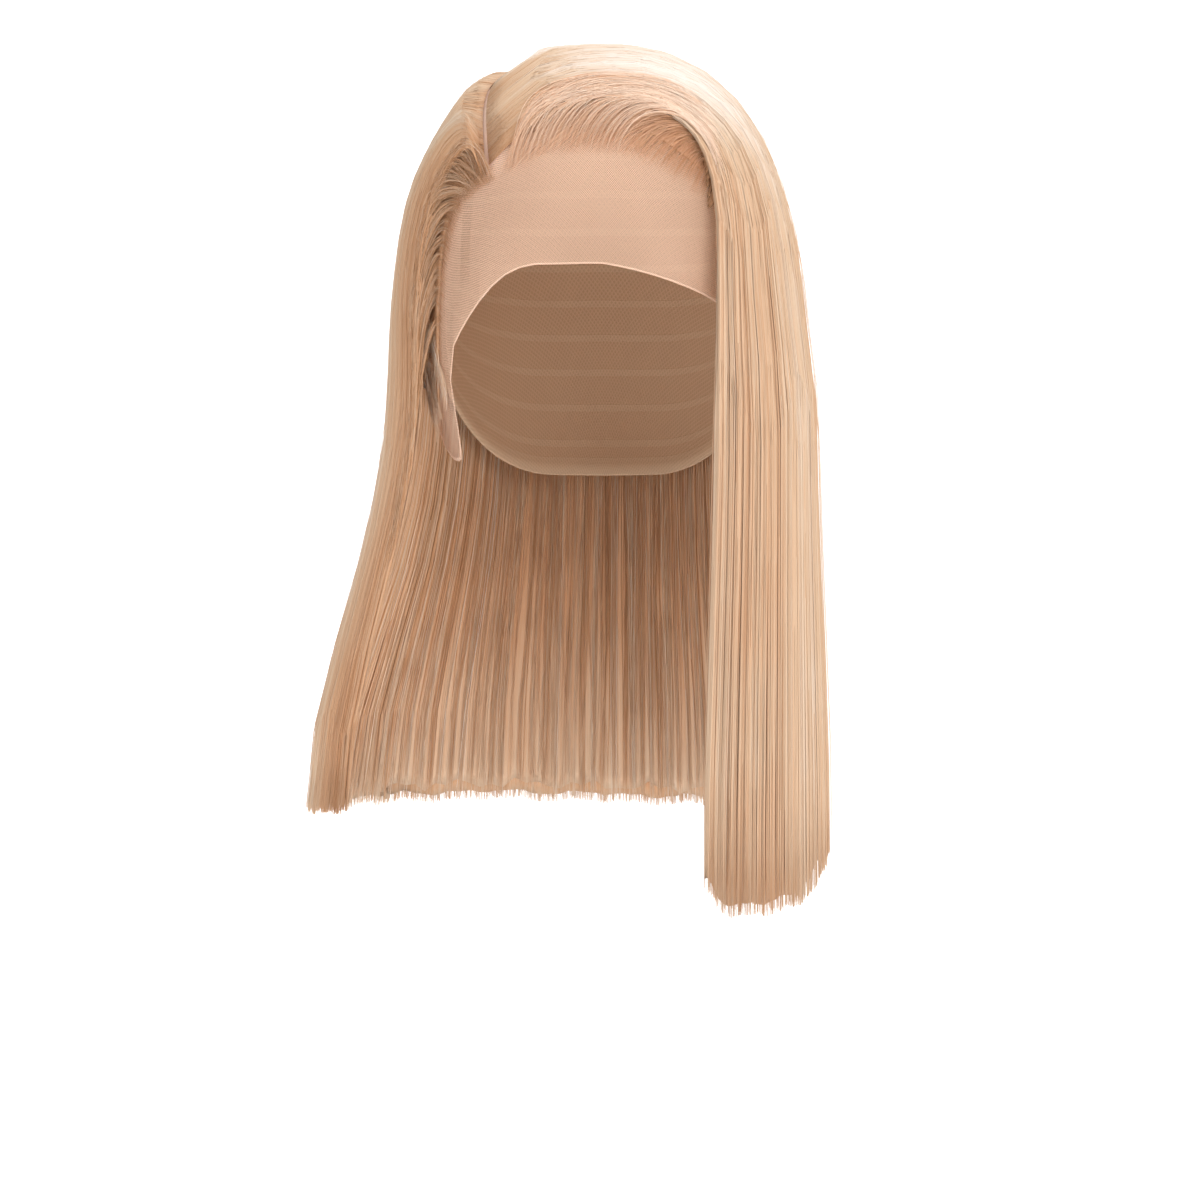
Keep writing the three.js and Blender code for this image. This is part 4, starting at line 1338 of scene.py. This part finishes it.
class HairSettings(bpy.types.PropertyGroup):
    platinum: colour_setting("Platinum", "The palest strands", (0.93, 0.83, 0.75))
    beige: colour_setting("Beige", "The middle tone", (0.75, 0.54, 0.37))
    gold: colour_setting("Gold", "The golden strands", (0.66, 0.355, 0.185))
    # Painted shade: the dark end of the hair's tones stands for the hollows between the strands.
    hollow_shade: colour_setting("Brown", "The hollows between strands", (0.26, 0.128, 0.055))
    brow_pale: colour_setting("Brow pale", "The palest strands of the brow hair", (0.96, 0.76, 0.61))
    brow_beige: colour_setting("Brow beige", "The middle tone of the brow hair", (0.93, 0.62, 0.42))
    brow_gold: colour_setting("Brow gold", "The golden strands of the brow hair", (0.78, 0.43, 0.235))
    strand: number_setting("Strand radius", "Radius of a combed strand in mm", 0.165, 0.05, 1)
    layer: number_setting("Strand layer", "Depth in mm that the strands are laid in", 0.35, 0, 4)
    relief: number_setting("Lock relief", "Depth in mm of the hollows between locks", 0.25, 0, 4)
    locks: count_setting("Locks", "Locks round the whole head", 130, 10, 400)
    steps: count_setting("Steps", "Points along each long strand", 20, 4, 60)
    strands: count_setting("Strands", "Strands on each length of long hair", 1700, 10, 1720)
    nape_strands: count_setting("Nape strands", "Strands of the under layer", 1500, 10, 3500)
    hairline_strands: count_setting("Hairline strands", "Strands combed up from the brow", 1300, 10, 2500)
    temple_strands: count_setting("Temple strands", "Strands of the waved temple hair", 1250, 10, 2300)
    lifted_strands: count_setting("Lifted strands", "Strands lifted over the sweep's edge", 560, 10, 2000)
    curl_strands: count_setting("Curl strands", "Strands of the curls behind the ear tab", 260, 10, 1000)


class ClothSettings(bpy.types.PropertyGroup):
    lace: colour_setting("Lace", "Colour of the sheer lace", (0.97, 0.65, 0.47))
    parting: colour_setting("Parting", "Colour of the lace along the parting", (0.88, 0.60, 0.46))
    cap: colour_setting("Cap", "Colour of the stretch net", (0.66, 0.44, 0.28))
    weft: colour_setting("Weft", "Colour of the sewn rows", (0.70, 0.49, 0.32))
    net_pitch: number_setting("Net pitch", "Spacing of the lace's threads in mm", 0.9, 0.3, 5)
    net_thread: number_setting("Net thread", "A thread's share of the net's pitch", 0.17, 0.02, 0.9)
    weft_rows: count_setting("Weft rows", "Sewn rows on the cap", 10, 2, 30)


class StageSettings(bpy.types.PropertyGroup):
    paper: colour_setting("Paper", "Colour of the floor and backdrop", (0.93, 0.93, 0.93))
    paper_glow: number_setting("Paper glow", "Light that the backdrop gives", 0.45, 0, 5)
    key: number_setting("Key light", "Power of the main light in watts", 15, 0, 1000)
    ambient: number_setting("Ambient", "Light from all round", 0.55, 0, 5)


class BobWigSettings(bpy.types.PropertyGroup):
    hair: group_setting(HairSettings, "Hair", "Colours and strands of the hair")
    cloth: group_setting(ClothSettings, "Cloth", "Colours and nets of the cap")
    stage: group_setting(StageSettings, "Stage", "Floor and lights")


class BuildsPiece:
    """What the operators share: each one calls its own build function."""

    def execute(self, context):
        self.build(context)
        return {"FINISHED"}


class BOBWIG_OT_stage(BuildsPiece, bpy.types.Operator):
    """Make the camera, the pale floor and backdrop, and the soft lights"""

    bl_idname = "bobwig.stage"
    bl_label = "Stage"
    build = staticmethod(build_stage)


class BOBWIG_OT_lace_front(BuildsPiece, bpy.types.Operator):
    """Make the sheer lace over the crown and forehead"""

    bl_idname = "bobwig.lace_front"
    bl_label = "Lace front"
    build = staticmethod(build_lace_front)


class BOBWIG_OT_wefted_cap(BuildsPiece, bpy.types.Operator):
    """Make the stretch cap that the long hair is sewn to"""

    bl_idname = "bobwig.wefted_cap"
    bl_label = "Wefted cap"
    build = staticmethod(build_wefted_cap)


class BOBWIG_OT_long_hair(BuildsPiece, bpy.types.Operator):
    """Make the long hair of the side, the back and the sweep"""

    bl_idname = "bobwig.long_hair"
    bl_label = "Long hair"
    build = staticmethod(build_long_hair)


class BOBWIG_OT_nape_hair(BuildsPiece, bpy.types.Operator):
    """Make the under layer of hair at the nape"""

    bl_idname = "bobwig.nape_hair"
    bl_label = "Nape hair"
    build = staticmethod(build_nape_hair)


class BOBWIG_OT_hairline_hair(BuildsPiece, bpy.types.Operator):
    """Make the short hair that is combed up from the brow"""

    bl_idname = "bobwig.hairline_hair"
    bl_label = "Hairline hair"
    build = staticmethod(build_hairline_hair)


class BOBWIG_OT_temple_waves(BuildsPiece, bpy.types.Operator):
    """Make the waved hair of the right temple"""

    bl_idname = "bobwig.temple_waves"
    bl_label = "Temple waves"
    build = staticmethod(build_temple_waves)


OPERATORS = (
    BOBWIG_OT_stage,
    BOBWIG_OT_lace_front,
    BOBWIG_OT_wefted_cap,
    BOBWIG_OT_long_hair,
    BOBWIG_OT_nape_hair,
    BOBWIG_OT_hairline_hair,
    BOBWIG_OT_temple_waves,
)


class BOBWIG_PT_panel(bpy.types.Panel):
    """Settings and pieces of the wig"""

    bl_idname = "BOBWIG_PT_panel"
    bl_label = "Bob Wig"
    bl_space_type = "VIEW_3D"
    bl_region_type = "UI"
    bl_category = "Bob Wig"

    def draw(self, context):
        settings = context.scene.bob_wig
        for group in (settings.hair, settings.cloth, settings.stage):
            box = self.layout.box()
            for name in group.__annotations__:
                box.prop(group, name)
        for operator in OPERATORS:
            self.layout.operator(operator.bl_idname)


CLASSES = (HairSettings, ClothSettings, StageSettings, BobWigSettings, *OPERATORS, BOBWIG_PT_panel)


def register():
    for each in CLASSES:
        bpy.utils.register_class(each)
    bpy.types.Scene.bob_wig = bpy.props.PointerProperty(type=BobWigSettings)


def unregister():
    del bpy.types.Scene.bob_wig
    for each in reversed(CLASSES):
        bpy.utils.unregister_class(each)


def main():
    register()
    bpy.ops.bobwig.stage()
    bpy.ops.bobwig.lace_front()
    bpy.ops.bobwig.wefted_cap()
    bpy.ops.bobwig.long_hair()
    bpy.ops.bobwig.nape_hair()
    bpy.ops.bobwig.hairline_hair()
    bpy.ops.bobwig.temple_waves()
    bpy.context.view_layer.update()


if __name__ == "__main__":
    main()
